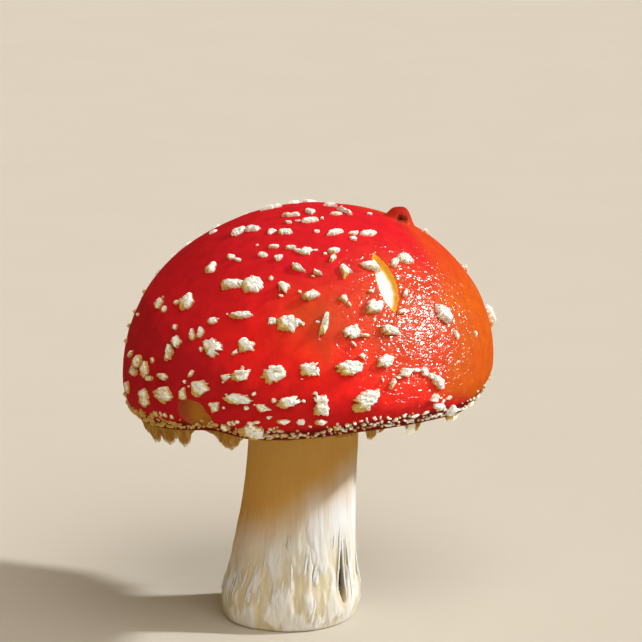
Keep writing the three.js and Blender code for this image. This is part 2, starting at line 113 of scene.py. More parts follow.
# Warts on the near side, as in the solids: azimuth, polar angle, width, length and turn
NEAR_WARTS = [
    (9, 6, 3, 4.2), (-28.5, 10, 5, 1.8, 25), (2, 14, 5, 1.8, 7), (46, 11, 3, 1.7, -20),
    (-115, 11.5, 3, 5.2, 25), (-160, 12, 3.4, 3), (178, 14, 3.4, 3), (112, 7, 2.6, 4.8, -40),
    (66.5, 12, 1.6, 6, -32), (-87, 29.3, 2.4, 2.2), (-59.5, 24.5, 4, 4.2, -30),
    (-49, 21.3, 4.5, 2.4, 20), (-30, 21.6, 2.5, 2.6), (-18, 21.6, 4, 2.4), (7, 21.4, 1.6, 1.6),
    (19.5, 23.7, 4.6, 2, 5), (33, 25.2, 2.8, 1.4, -10), (42, 26.9, 4.4, 2, -15),
    (30, 28.3, 2.6, 2.3), (-20, 29.6, 2.9, 1.4), (-10, 30, 2.8, 1.3), (-0.5, 32, 3.3, 2.8),
    (-24, 33.8, 2.6, 1.4), (-15, 34.9, 2.4, 2.2), (14, 33.1, 3.6, 1.5), (12.5, 36.2, 1.6, 2.8, -30),
    (-41.5, 36.1, 2.6, 1.8), (98, 38.5, 2.6, 2.4), (-47, 42, 2.4, 4, 13),
    (-4.5, 39.5, 3.8, 1.5, -35), (4, 42, 3.3, 1.3, -30), (16.5, 42.2, 3.8, 3.6),
    (29, 41.6, 4.6, 3.4, -20), (41.5, 42.2, 3.6, 2, 35), (48, 41.6, 5, 3, -25), (97, 57, 3.2, 3),
    (-32, 47.4, 5.6, 4.2, 11), (-22.5, 46.4, 5.2, 5, 9), (-10, 47.4, 3.2, 4.1, 30),
    (1, 51, 5.1, 4.2), (13.5, 52.8, 2.6, 2.2), (38, 54, 1.5, 2.8, -29), (-64, 59.3, 3.4, 3.1),
    (-48, 56, 4.9, 4.5, -20), (-23.5, 58.6, 6.8, 1.8, 6), (24, 57, 5.4, 3.3), (-12, 60, 2.2, 2.2),
    (-6.5, 60.6, 6, 4.6), (5.5, 61.5, 2, 6.1, -19), (34, 60.3, 2.6, 1.4), (-33.5, 61, 3.4, 1.6, 25),
    (51, 64.8, 4.2, 6.2, 39), (-49, 65, 1.8, 1.9), (-40, 66.4, 1.4, 3.9, 31), (-37, 65.4, 2.2, 3.1),
    (14, 65, 4.3, 3.7), (27, 65.8, 5.4, 2.7, -17), (-20, 68, 4.8, 4.6), (-46, 69.7, 2.8, 4.1, -21),
    (-31, 70, 5.9, 5.1), (-48, 73.2, 2.2, 4.1), (17, 73.2, 1.8, 1.9), (53.5, 72.6, 1.2, 2.4, 20),
    (92, 76, 4, 5.5), (-72, 78.5, 2.8, 1.6, 40), (-64.5, 79.3, 3, 4.4, -35),
    (-66.5, 83.2, 3.8, 3.2), (-59, 81.4, 2.8, 4, -35), (-56, 83.2, 3.2, 1.6, 15),
    (-49, 81.3, 3.8, 1.7, -9), (-25, 79, 3.1, 1.8, 16), (-20.5, 78, 4.8, 2.9, 10),
    (-10, 77.3, 6.3, 4.8), (1, 76, 6.4, 5.1), (13, 77, 6.6, 3.9), (24, 76, 4.6, 3.1),
    (26, 83.7, 1.4, 3.2, -37), (30.5, 80.6, 4.8, 2.4, 10), (37.5, 82, 2.5, 2, -34),
    (42, 86, 5.3, 2.8, -41), (-72, 89.5, 2, 3), (-58, 90, 4.2, 3.8), (-48, 87.2, 6.6, 4.5, 11),
    (-40, 86, 2.2, 3.6, -10), (-34, 83.3, 5.6, 4, 14), (-28.5, 88.7, 3.8, 2.8), (-21, 86, 7, 2.8),
    (-13, 88.4, 4, 2.3, -17), (-5.5, 86.5, 6.3, 2.8, 7), (4, 88, 5.4, 6.2), (17, 88, 8.2, 4.6, 10),
    (41, 92.5, 3.3, 2.4, -12), (43, 99.7, 4.2, 1.5, -10), (-7, 95.5, 3, 1.4), (-2, 96.4, 2.8, 1.4),
    (4, 97.6, 3, 1.4), (-26, 104.5, 2.4, 2), (-16.5, 104, 6.4, 4.2), (51.5, 107, 3, 3.4),
]
# Scraps too small for the solids
SPECKS = [
    (-22, 15.1, 2.4, 1.3), (19.5, 12.6, 1.2, 1.6), (83, 18.3, 1.6, 1.8), (-31.5, 29.2, 0.8, 0.8),
    (-27.3, 46.8, 2.6, 2.2), (-5.5, 31.4, 2.1, 1.1, -17), (-36, 37, 2.3, 0.9, -4),
    (-15.5, 43.8, 1.4, 1.3), (15, 55, 1, 1.6, 13), (24.5, 51.1, 1.6, 1.3), (-59, 60.4, 1.8, 1.7),
    (-54, 57, 1.8, 1.3, 30), (18.5, 66.5, 3.2, 0.8, -8), (14.5, 68.9, 0.8, 2.3, 44),
    (-22.8, 70.7, 1, 2.2, -44), (-35.2, 70.7, 1.2, 1.5), (-56, 77.4, 1.6, 1.6),
    (-37.5, 78.9, 1.2, 2.4, -34), (-39.8, 81.8, 1.2, 1.2), (-20, 76.1, 1.2, 2, 12),
    (22.8, 82.2, 0.8, 1.4), (-15.8, 84, 1.4, 1.4), (-18.2, 88.3, 1.7, 1.2), (-9.8, 86.1, 1.5, 1.3),
    (-11.2, 92.9, 1.7, 1.1, -18), (-17, 97.5, 2.2, 0.9), (-24, 99, 1.2, 1.2),
    (-22.5, 98.5, 1.2, 1.2), (65, 75.5, 1.2, 1.6), (28, 82, 1.8, 1.2, -20),
    (34.4, 80.7, 2.4, 1.2, -15), (39.8, 83.9, 2.2, 1.3, -40), (47.5, 95.5, 2, 1.2, 10),
    (-106, 91, 2.6, 2, 10), (-102, 78, 3, 2.2, -15), (-104, 66.5, 2.2, 1.8, 20),
    (-109, 58, 3, 2.4, -10), (-112, 50.5, 2.2, 1.7, 15), (-119, 46.5, 3, 2.3, 5),
    (-126, 37, 2.8, 2.2, -20), (-138, 29, 2.8, 2, 10), (-96, 74.5, 2.2, 1.7, 10),
    (-84, 77, 1.8, 1.4, 20), (-93, 61, 1.8, 1.4, -15), (-79, 66.5, 1.3, 1.1), (-90, 68, 1.2, 1),
    (-83, 99, 1.3, 1.1), (-95, 100, 1.6, 1.1), (-117, 40, 1.3, 1), (-76, 96, 1.5, 1.2),
    (-150, 22, 2.4, 1.8),
]
# The polar angle down to which warts belong to the crown
UPPER_WARTS = 62
# Warts on the far side: polar angle of each row, how many, their mean width and how far round
# they reach to each side of +Y
FAR_ROWS = [
    (29, 3, 3.4, 32), (38, 4, 3.8, 48), (47, 5, 4.2, 58), (56, 6, 4.5, 64),
    (65, 7, 4.8, 68), (74, 7, 5, 72), (83, 7, 5.2, 74), (92, 6, 4.8, 74),
]
# How high a scrap stands, as (its larger size, its height)
WART_RISES = [(1.2, 0.5), (2.5, 0.9), (4, 1.3), (6.5, 1.7)]
# The sides of a wart, from the rim of its top to its root: shares of its reach and of its rise
WART_SIDES = np.array([
    (0.78, 0.86, 0.92, 0.97, 1.0, 1.0, 0.96, 0.92),
    (0.90, 0.76, 0.58, 0.37, 0.15, 0.0, -0.3, -0.6),
])
# Teeth and notches of a torn outline: least, most and how wide, and its waves: how many, how high
TEETH = [(0.1, 0.34, 0.14), (0.1, 0.28, 0.1), (-0.42, -0.2, 0.2), (-0.3, -0.1, 0.12)]
WAVES = [(5, 0.04), (8, 0.04), (13, 0.05), (21, 0.04)]

# How far the torn veil hangs below the lip on the near side, as (azimuth, hang)
NEAR_HEM = [
    (-88, 1.4), (-80, 2.2), (-74, 3), (-70, 3.4), (-66, 4.4), (-62, 5), (-60, 4.4), (-58.8, 2.7),
    (-57.6, 4), (-55.5, 4.8), (-53, 4.9), (-51.4, 4.2), (-50.2, 2.8), (-49.2, 2.6), (-48.1, 4),
    (-46.5, 4.7), (-44.6, 4.8), (-43.2, 3.8), (-42.2, 1.4), (-40.5, 0.5), (-36, 0.4), (-33, 1.2),
    (-31.6, 1.7), (-30.4, 3.5), (-28.4, 4.4), (-25.6, 4.3), (-23.6, 3.1), (-22.4, 1.5),
    (-21.4, 0.7), (-18, 0.3), (-14, 0.5), (-11, 0.2), (-6, 0.6), (0, 0.3), (5, 0.8), (8, 0.2),
    (10.4, 1), (13, 1.4), (15.5, 1.1), (16.5, 0.2), (19.3, 0.2), (20, 2.4), (21.5, 2.8), (23, 1.4),
    (25, 0.8), (26.5, 0.2), (33, 0.3), (34.2, 0.6), (35, 2.4), (37, 2.9), (39.5, 2.4), (40.6, 0.4),
    (45, 0.2), (52.5, 0.3), (54, 1.7), (56.5, 1.5), (58, 2.4), (61, 2.1), (62.5, 0.6), (70, 0.9),
    (80, 0.5),
]
# Flakes along the margin on the near side: azimuth, polar angle, width, length and, where they
# aren't 0, turn and how brown they are
MARGIN_FLAKES = [
    (-84, 106, 3, 3, 0, 0.5), (-76, 107, 3.4, 2.4, 10, 0.5), (-68.5, 104, 2.6, 2.2, -20, 0.5),
    (-63, 102, 2.6, 2.2, 15, 0.4), (-58.5, 105, 2.2, 1.9, -15, 0.6),
    (-63.5, 107.5, 3.4, 1.8, 8, 0.7), (-56, 101.5, 1.6, 1.6, 30, 0.4),
    (-53.5, 99.5, 1.9, 2, 10, 0.2), (-50.5, 98.5, 1.1, 1.6, 20), (-48.6, 98.6, 2, 1.5, -40),
    (-45.6, 99.3, 0.8, 1.5, 15), (-50.5, 103.3, 2.6, 0.7, -30, 0.5),
    (-48.5, 105, 2.6, 0.6, -28, 0.5), (-46.3, 105.5, 2.6, 0.6, -32, 0.4),
    (-47, 107.6, 2.4, 0.7, -24, 0.6), (-51.5, 106.6, 2.2, 0.9, -20, 0.7),
    (-53.5, 104.4, 1.8, 0.8, -30, 0.6), (-44.2, 108.6, 1.3, 1.4, 0, 0.4), (-42.6, 109.3, 0.8, 0.7),
    (-40, 110.4, 0.8, 0.8, 0, 0.1), (-54.5, 109, 2.6, 1, -12, 0.8),
    (-50, 109.6, 2.4, 0.9, -14, 0.7), (-59.5, 109.5, 2.8, 1.1, -6, 0.8),
    (-72, 109.5, 4, 1.4, 0, 0.8), (-29, 104.2, 1.8, 0.9, -10, 0.5),
    (-25.4, 104.6, 2.2, 1.9, -15, 0.35), (-31.5, 106.8, 2, 1, 5, 0.8),
    (-22.8, 97.3, 0.8, 0.7, 0, 0.1), (-21.2, 97, 1, 1.3, 10), (-15.2, 96.6, 2.5, 0.8, 8),
    (-11.2, 102, 1.6, 0.8, -10, 0.3), (-8.4, 103.6, 2.3, 0.8, -8, 0.2),
    (-10.2, 107.5, 1, 1, 30, 0.3), (-7.4, 108, 1.7, 1, -25, 0.3), (-4.8, 106.6, 1, 0.7, 0, 0.2),
    (-2.3, 108, 1.1, 1, 0, 0.2), (-5, 110.6, 3, 0.5, 0, 0.4), (-12.6, 106.6, 1.6, 0.5, 30, 0.4),
    (2.5, 110.4, 1, 0.7), (4.7, 107.8, 1.6, 0.8, 20, 0.3), (6.9, 106.4, 1.2, 1.2, 35, 0.3),
    (9, 105, 2, 1.7, 10, 0.2), (10.9, 108, 1.1, 1, 20, 0.1), (12, 104, 1.2, 0.9),
    (13.6, 107.4, 1.4, 1, -8), (14.4, 103, 1, 0.8, 0, 0.1), (18, 100.8, 0.7, 1.3, 15),
    (20.5, 100.4, 1.6, 0.9, -35), (22.3, 100.2, 0.6, 1.1, -10), (25, 102, 0.8, 1.2, 25),
    (28, 105, 1.4, 1.5, -35), (26.3, 109.8, 3, 0.9, -4, 0.1), (33.6, 109, 1.7, 1, 15),
    (34.8, 105, 2.4, 1.2, 12), (39, 103.8, 2.4, 1, 14), (45, 108.6, 5, 0.9, 5),
    (41.6, 110.2, 1.8, 0.7), (45.4, 103.4, 3.6, 1, 10), (55, 109.6, 3.6, 1.3, 6),
    (61, 110.2, 3.6, 1, 2, 0.1), (67, 110.2, 4, 1.1, 0, 0.1), (73.5, 110.2, 4.2, 1, 0, 0.2),
    (30.6, 102.6, 1.1, 1), (17.4, 105.6, 1.4, 0.8, 10), (21, 107, 1.2, 0.8, 0, 0.1),
    (23.2, 104.8, 0.9, 1.2, 20),
]
# Rows of small flakes all round: polar angle, how many places and their mean width and length
MARGIN_ROWS = [
    (101.2, 60, 0.8, 0.6), (104.2, 110, 0.8, 0.6), (106.8, 160, 0.9, 0.5), (109, 190, 1.0, 0.5),
    (110.6, 170, 1.2, 0.6),
]
# Scraps of the fringe that are still pale, as (azimuth, reach in degrees)
PALE_SCRAPS = [(36.5, 2), (59.5, 2), (68, 5), (77, 5), (23.5, 0.7)]
# The fringe's place inside the lip, and how far above the lip's edge its hang is counted from
FRINGE_RADIUS, FRINGE_LEVEL, FRINGE_ROOT = 45.3, -7.4, 0.65
FRINGE_COLUMNS = 1600
# The fringe's thickness on its way down, as (share of its hang, share of its thickness)
FRINGE_TAPER = [
    (-1, 1.0), (0, 1.0), (0.14, 0.95), (0.28, 0.9), (0.42, 0.82), (0.56, 0.75), (0.7, 0.66),
    (0.82, 0.55), (0.91, 0.45), (0.97, 0.32), (1, 0.14),
]
# Flaps on the far side: how many, between which azimuths, and their least and most
FAR_FLAP_COUNT, FAR_FLAP_SPAN = 15, (82, 270)
FAR_FLAP_WIDTH, FAR_FLAP_HANG = (3.6, 6.6), (1.2, 4)

# Places grazed by slugs, a slit and a bite at the margin: azimuth, polar angle, width, length,
# how pointed the ends are and how far the upper end leans towards +X
GRAZES = [(33, 47.8, 5.6, 19, 0.8, 0.12), (-36, 98.4, 10.2, 7.8, 0.3, -0.42)]
GRAZE_DEPTHS = (1.2, 0.9)
# The white heart of the slit
GRAZE_HEART = (32, 49.4, 4.3, 13.5, 0.7, 0.12)
# The azimuth from which the +X flank, on the sun's side, is orange, by polar angle: partly
# sun-faded skin, partly painted sunlight
SUNNED_FROM = [
    (20, 100), (30, 84), (40, 68), (50, 57), (60, 50), (70, 47), (80, 45), (90, 46), (98, 54),
    (104, 64), (111, 78),
]
SUNNED_END = (125, 165)
# A lip of skin that stands up on the shoulder: where it is and its reach along X, Y and Z, and
# the slit in it: how far in, its middle across and up, and its reach across and up
SKIN_LIP = {"azimuth": 94, "polar": 28.5, "reach": 3.4, "depth": 2.4, "rise": 3.7}
LIP_SLIT = {"depth": 1.2, "across": 0.5, "up": 0.7, "reach": 1.5, "tall": 0.7}


# --- Noise and random draws -------------------------------------------------------------------

HASH_FACTORS = [np.uint32(factor) for factor in (374761393, 668265263, 2246822519, 1274126177)]
LEHMER_FACTOR = 16807
LEHMER_PRIME = 2147483647


def value_noise(points, seed):
    """Smooth noise from -1 to 1 at an array of points, with one lattice cell to a unit."""
    cell = np.floor(points).astype(np.int64)
    part = points - cell
    blend = part**3 * (part * (part * 6 - 15) + 10)
    total = np.zeros(points.shape[:-1])
    for corner in itertools.product((0, 1), repeat=3):
        axes = np.moveaxis((cell + corner).astype(np.uint32), -1, 0)
        key = sum(axis * factor for axis, factor in zip(axes, HASH_FACTORS))
        key = key + np.uint32(seed * 9781 + 17)
        key = (key ^ (key >> np.uint32(13))) * HASH_FACTORS[3]
        key = key ^ (key >> np.uint32(16))
        weight = np.prod(np.where(corner, blend, 1 - blend), axis=-1)
        total += weight * (key / 2**31 - 1)
    return total


def noise(points, size, seed, octaves=3):
    """Noise from about -1 to 1 whose largest blobs are size mm wide, or one size for each axis."""
    scaled = points / np.asarray(size, float)
    layers = [value_noise(scaled * 2**i + 7.3 * i, seed + i) / 2**i for i in range(octaves)]
    return sum(layers) / (2 - 2 ** (1 - octaves))


def lehmer(seed):
    """The same draws as the solids make, so that the far warts and flaps stand on theirs."""
    state = seed
    while True:
        state = state * LEHMER_FACTOR % LEHMER_PRIME
        yield state / LEHMER_PRIME


def mm(*lengths):
    """Lengths given in millimetres, in metres."""
    return tuple(MM * length for length in lengths)


def mix(a, b, share):
    return a + (b - a) * share


def ease(value, low, high):
    """From 0 to 1 as a value goes from low to high, eased at both ends."""
    share = np.clip((value - low) / (high - low), 0, 1)
    return share * share * (3 - 2 * share)


def profile(curve, at, smooth=0.0):
    """The value of a list of (position, value) points, eased over a few mm round its corners."""
    places, values = zip(*sorted(curve))
    if not smooth:
        return np.interp(at, places, values)
    offsets = np.linspace(-smooth, smooth, 9)
    weights = 1.01 - np.abs(offsets) / smooth
    spread = sum(w * np.interp(at + o, places, values) for w, o in zip(weights, offsets))
    return spread / weights.sum()


def turn_from(start, azimuth):
    """The turn from one azimuth to another, from -180 to 180 degrees."""
    return (azimuth - start + 180) % 360 - 180


def circle(azimuth, radius):
    """Points on a level circle, at which the noise round the cap or the ring is drawn."""
    turn = np.radians(azimuth)
    return np.stack([radius * np.cos(turn), radius * np.sin(turn), 0 * turn], -1)


# --- Meshes -----------------------------------------------------------------------------------

# The two faces of a thin sheet, as (side, the order of its points)
SHEET_FACES = ((1, slice(None)), (-1, slice(None, None, -1)))


def around(columns):
    """Azimuths all round, as many as there are columns."""
    return np.arange(columns) * 360 / columns


def grid_quads(rows, columns, closed_rows):
    """Quads between the points of a grid that is stored row by row, each row a closed ring."""
    row, column = np.meshgrid(
        np.arange(rows if closed_rows else rows - 1), np.arange(columns), indexing="ij"
    )
    next_row, next_column = (row + 1) % rows, (column + 1) % columns
    corners = [(row, column), (row, next_column), (next_row, next_column), (next_row, column)]
    return np.stack([r * columns + c for r, c in corners], -1).reshape(-1, 4)


def fan(ring, tip):
    """Quads with a doubled corner, which become triangles, from a ring of points to a tip."""
    after = np.roll(ring, -1)
    return np.stack([ring, after, np.full_like(ring, tip), np.full_like(ring, tip)], -1)


def grid_shape(grid, closed_rows=False, **values):
    """A closed shape from a (rows, columns, 3) grid. Unless its rows close, its ends are capped."""
    rows, columns, _ = grid.shape
    ends = [] if closed_rows else [0, rows - 1]
    quads = [grid_quads(rows, columns, closed_rows)]
    for i, row in enumerate(ends):
        ring = row * columns + np.arange(columns)
        quads.append(fan(ring if row else ring[::-1], rows * columns + i))
    quads = np.vstack(quads)
    points = np.vstack([grid.reshape(-1, 3), *(grid[row].mean(0) for row in ends)])
    point_values = {}
    for name, value in values.items():
        value = np.broadcast_to(value, (rows, columns))
        point_values[name] = np.concatenate([value.ravel(), [value[row].mean() for row in ends]])
    a, b, c, d = (points[quads[:, i]] for i in range(4))
    inside_out = (a * np.cross(b, c)).sum() + (a * np.cross(c, d)).sum() < 0
    return {
        "points": points,
        "quads": quads[:, ::-1] if inside_out else quads,
        "values": point_values,
    }


def joined(shapes):
    starts = np.cumsum([0] + [len(shape["points"]) for shape in shapes])
    return {
        "points": np.vstack([shape["points"] for shape in shapes]),
        "quads": np.vstack([shape["quads"] + start for shape, start in zip(shapes, starts)]),
        "values": {
            name: np.concatenate([shape["values"][name] for shape in shapes])
            for name in shapes[0]["values"]
        },
    }


def add_object(name, data):
    made = bpy.data.objects.new(name, data)
    bpy.context.scene.collection.objects.link(made)
    return made


def add_piece(name, shape, material, node, smooth=True):
    """Makes an object from a shape in mm, which stands for a node of the solids."""
    mesh = bpy.data.meshes.new(name)
    faces = [list(dict.fromkeys(quad)) for quad in shape["quads"].tolist()]
    mesh.from_pydata((shape["points"] * MM).tolist(), [], faces)
    for value_name, values in shape["values"].items():
        layer = mesh.attributes.new(value_name, "FLOAT", "POINT")
        layer.data.foreach_set("value", values.astype(np.float32))
    if smooth:
        mesh.shade_smooth()
    mesh.materials.append(material)
    piece = add_object(name, mesh)
    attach(piece, "root")
    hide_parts(node)


# --- The cap's skin ---------------------------------------------------------------------------

# Half the span in degrees over which the skin's slope is measured
SLOPE_SPAN = 0.5
# How far in mm the cap's skin knows its distance from a grazed place
BARE_REACH = 3.0


def margin_lift(azimuth):
    """How far the margin waves up or down, eased over a few degrees."""
    azimuth = np.asarray(azimuth, float)
    curve = tuple(zip(*MARGIN_LIFTS))
    lifts = [np.interp(azimuth + turn, *curve, period=360) for turn in LIFT_EASE]
    return sum(lifts) / len(lifts)


def cap_place(radius, height, azimuth):
    """Puts a radius and a height over the widest level in their place on the tilted cap."""
    turn = np.radians(azimuth)
    reach = (radius / CAP_RADIUS) ** 2
    x = radius * np.sin(turn)
    follows = ease(-np.asarray(height, float), *LIFTED_BAND)
    lift = x * math.tan(math.radians(CAP_TILT)) * reach + margin_lift(azimuth) * follows
    place = (CAP_CENTRE_X + x, -radius * np.cos(turn), WIDEST_LEVEL + height + lift)
    return np.stack(np.broadcast_arrays(*place), -1)


def skin_point(polar, azimuth):
    """A place on the smooth skin."""
    polar, azimuth = np.broadcast_arrays(np.asarray(polar, float), np.asarray(azimuth, float))
    angle = np.radians(polar)
    dome = polar <= 90
    radius = CAP_RADIUS * np.sin(angle) ** np.where(dome, DOME_FULLNESS, 1)
    rise = np.abs(np.cos(angle)) ** DOME_FULLNESS
    points = cap_place(radius, np.where(dome, DOME_HEIGHT, -TURN_IN_HEIGHT) * rise, azimuth)
    shoulder = np.where(polar < SHOULDER_END, np.sin(3 * angle) ** 2, 0)
    points[..., 2] += SHOULDER_LIFT * shoulder * np.sin(np.radians(azimuth))
    return points


def skin_degrees(polar, azimuth):
    """The vectors in mm along a degree round the cap and along a degree up it."""
    polar = np.maximum(polar, SLOPE_SPAN + 0.1)
    before, after = (skin_point(polar, azimuth + span) for span in (-SLOPE_SPAN, SLOPE_SPAN))
    above, below = (skin_point(polar + span, azimuth) for span in (-SLOPE_SPAN, SLOPE_SPAN))
    return after - before, above - below


def outward(polar, azimuth):
    """Unit vectors out of the skin."""
    out = np.cross(*skin_degrees(polar, azimuth))
    return out / np.linalg.norm(out, axis=-1, keepdims=True)


def mm_per_degree(polar, azimuth):
    """How many millimetres a degree is round the cap and up it."""
    return [np.linalg.norm(degree, axis=-1) for degree in skin_degrees(polar, azimuth)]


def past_widest(polars, polar, share):
    """Shortens or lengthens the part of a run of polar angles that lies past the widest level."""
    beyond = polars > 90 if polar <= 90 else polars < 90
    scale = share if polar <= 90 else 1 / share
    return np.where(beyond, 90 + (polars - 90) * scale, polars)


def patch_to_skin(polar, azimuth, across, upward, height):
    """Lays a flat patch round a place on the skin: mm across, upward and out of the skin."""
    per_round, per_up = mm_per_degree(polar, azimuth)
    polars = past_widest(polar - upward / per_up, polar, DOME_HEIGHT / TURN_IN_HEIGHT)
    azimuths = azimuth + across / per_round
    azimuths = np.where(polars < 0, azimuths + 180, azimuths)
    polars = np.abs(polars)
    return skin_point(polars, azimuths) + outward(polars, azimuths) * height[..., None]


def bare_flesh(graze, polar, azimuth):
    """How far inside a grazed place a point lies, in mm: negative outside it."""
    middle, level, width, length, point, lean = graze
    per_round, per_up = mm_per_degree(level, middle)
    across = turn_from(middle, azimuth) * per_round
    upward = (level - past_widest(polar, level, TURN_IN_HEIGHT / DOME_HEIGHT)) * per_up
    ends = np.maximum(0, 1 - (2 * upward / length) ** 2) ** point
    ragged = 0.3 * np.sin(upward * 1.9) + 0.2 * np.sin(upward * 4.1 + across)
    inside = width / 2 * ends - np.abs(across - lean * upward) + ragged * 0.4
    return np.minimum(inside, length / 2 - np.abs(upward))


def skin_relief(points, polar, azimuth):
    """How far the skin stands out, in mm: soft swellings and the grazed hollows."""
    swell = noise(points, size=17, seed=3)
    relief = 0.28 * swell + 0.06 * noise(points, size=2.4, seed=9)
    for graze, depth in zip(GRAZES, GRAZE_DEPTHS):
        relief -= depth * ease(bare_flesh(graze, polar, azimuth), -0.15, 1.1)
    return relief


def sunned(points, polar, azimuth):
    """From 0 to 1 over the +X flank on the sun's side, less so near the crown: orange that is
    partly sun-faded skin and partly painted sunlight.
    """
    wander = 7 * noise(points, size=14, seed=43)
    start = np.interp(polar, *zip(*SUNNED_FROM)) + wander
    band = ease(azimuth, start - 11, start + 8) * (1 - ease(azimuth, *SUNNED_END))
    return band * mix(0.6, 1, ease(polar, 44, 66)) * ease(polar, 7, 27)


def lip_offsets(polar, azimuth):
    """Millimetres along X, Y and Z from the middle of the raised lip, and X far off elsewhere."""
    middle = skin_point(SKIN_LIP["polar"], SKIN_LIP["azimuth"])
    x, y, z = np.moveaxis(skin_point(polar, azimuth) - middle, -1, 0)
    near = np.abs(turn_from(SKIN_LIP["azimuth"], azimuth)) < 60
    return np.where(near, x, 99), y, z


def lip_rise(polar, azimuth):
    """How far the lip of skin stands up: steep at its ends, with a flat top."""
    across, along, _ = lip_offsets(polar, azimuth)
    inside = (across / SKIN_LIP["reach"]) ** 2 + (along / SKIN_LIP["depth"]) ** 2
    return (SKIN_LIP["rise"] + 0.42 * np.clip(across, -4, 4)) * np.exp(-1.1 * inside**2.2)


def lip_hollow(polar, azimuth):
    """From 0 to 1 where a slit is open in the lip, on the side that faces -Y."""
    across, along, foot = lip_offsets(polar, azimuth)
    height = foot + lip_rise(polar, azimuth)
    inside = ((across - LIP_SLIT["across"]) / LIP_SLIT["reach"]) ** 2
    inside = inside + ((height - LIP_SLIT["up"]) / LIP_SLIT["tall"]) ** 2
    return np.where(along < 0.3, 1 - ease(inside, 0.35, 1.1), 0)


def cap_shape():
    azimuth = around(CAP_COLUMNS)
    polar = np.concatenate([[0.4, 1.2], np.linspace(2.2, MARGIN_POLAR, CAP_ROWS)])[:, None]
    base = skin_point(polar, azimuth)
    hollow, lip = lip_hollow(polar, azimuth), lip_rise(polar, azimuth)
    skin = base + outward(polar, azimuth) * skin_relief(base, polar, azimuth)[..., None]
    skin = skin + [0, LIP_SLIT["depth"], 0] * hollow[..., None]
    skin[..., 2] += lip
    under = np.array(LIP_PROFILE + FLESH_UNDERSIDE + FLESH_MIDDLE)
    below = np.stack([cap_place(radius, height, azimuth) for radius, height in under])

    def spread(over_skin, over_underside=0.0):
        """Values for each point of the skin and then of the underside."""
        parts = ((over_skin, len(polar)), (over_underside, len(under)))
        return np.concatenate([np.broadcast_to(v, (rows, CAP_COLUMNS)) for v, rows in parts])

    slit, bite = (bare_flesh(graze, polar, azimuth) for graze in GRAZES)
    heart = ease(bare_flesh(GRAZE_HEART, polar, azimuth), -0.5, 0.6)
    flesh = ease(np.arange(len(under)), -0.5, len(LIP_PROFILE))[:, None]
    return grid_shape(
        np.concatenate([skin, below]),
        bare=spread(np.clip(np.maximum(slit, bite), -BARE_REACH, BARE_REACH), -BARE_REACH),
        heart=spread(heart + ease(bite, -0.5, 0.6)),
        underside=spread(0.0, flesh),
        stain=spread(ease(bite, -1.5, -0.5)),
        hollow=spread(hollow),
        raised=spread(lip / SKIN_LIP["rise"]),
        faded=spread(sunned(base, polar, azimuth)),
        polar=spread(polar, MARGIN_POLAR) / 100,
    )


# --- Warts ------------------------------------------------------------------------------------

def torn_outline(angles, rng):
    """The radius of a torn scrap, with straightish sides between uneven corners, and its fray."""
    corners = rng.integers(4, 8)
    step = FULL_TURN / corners
    facing = (np.arange(corners) + rng.uniform(-0.3, 0.3, corners)) * step + rng.uniform(0, 7)
    facing = facing - FULL_TURN * np.floor(facing[0] / FULL_TURN)
    reach = rng.uniform(0.84, 1.30, corners)
    after = np.searchsorted(facing, (angles - facing[0]) % FULL_TURN + facing[0], side="right")
    before, after = after - 1, after % corners
    past = (angles - facing[before]) % FULL_TURN
    left = (facing[after] - angles) % FULL_TURN
    sides = reach[before] * reach[after] * np.sin(past + left)
    body = sides / (reach[before] * np.sin(past) + reach[after] * np.sin(left))
    fray = 0 * angles
    for low, high, spread in TEETH:
        gap = np.angle(np.exp(1j * (angles - rng.uniform(0, FULL_TURN))))
        fray = fray + rng.uniform(low, high) * np.exp(-((gap / spread) ** 2))
    for waves, most in WAVES:
        fray = fray + rng.uniform(0.3, 1) * most * np.sin(waves * angles + rng.uniform(0, 7))
    return body, fray


def curds(x, y, span, size, rng):
    """How high the curds of a scrap stand at each point, from about -1 to 1."""
    count = int(np.clip(1.4 * span[0] * span[1] / (size[0] * size[1]), 2, 30))
    middles = rng.uniform(-0.55, 0.55, (count, 2)) * span
    off_x = (x[..., None] - middles[:, 0]) / size[0]
    off_y = (y[..., None] - middles[:, 1]) / size[1]
    reach = np.hypot(off_x, off_y)
    nearest = reach.argmin(-1)
    rounded = 0.7 - 1.5 * np.minimum(reach.min(-1), 1.2) ** 2
    stand, tip_x, tip_y = rng.uniform(-1, 1, (3, count))
    pick = nearest[..., None]
    tip = tip_x[nearest] * np.take_along_axis(off_x, pick, -1)[..., 0]
    tip = tip + tip_y[nearest] * np.take_along_axis(off_y, pick, -1)[..., 0]
    return 0.6 * stand[nearest] + 0.6 * np.clip(tip, -1, 1) + rounded


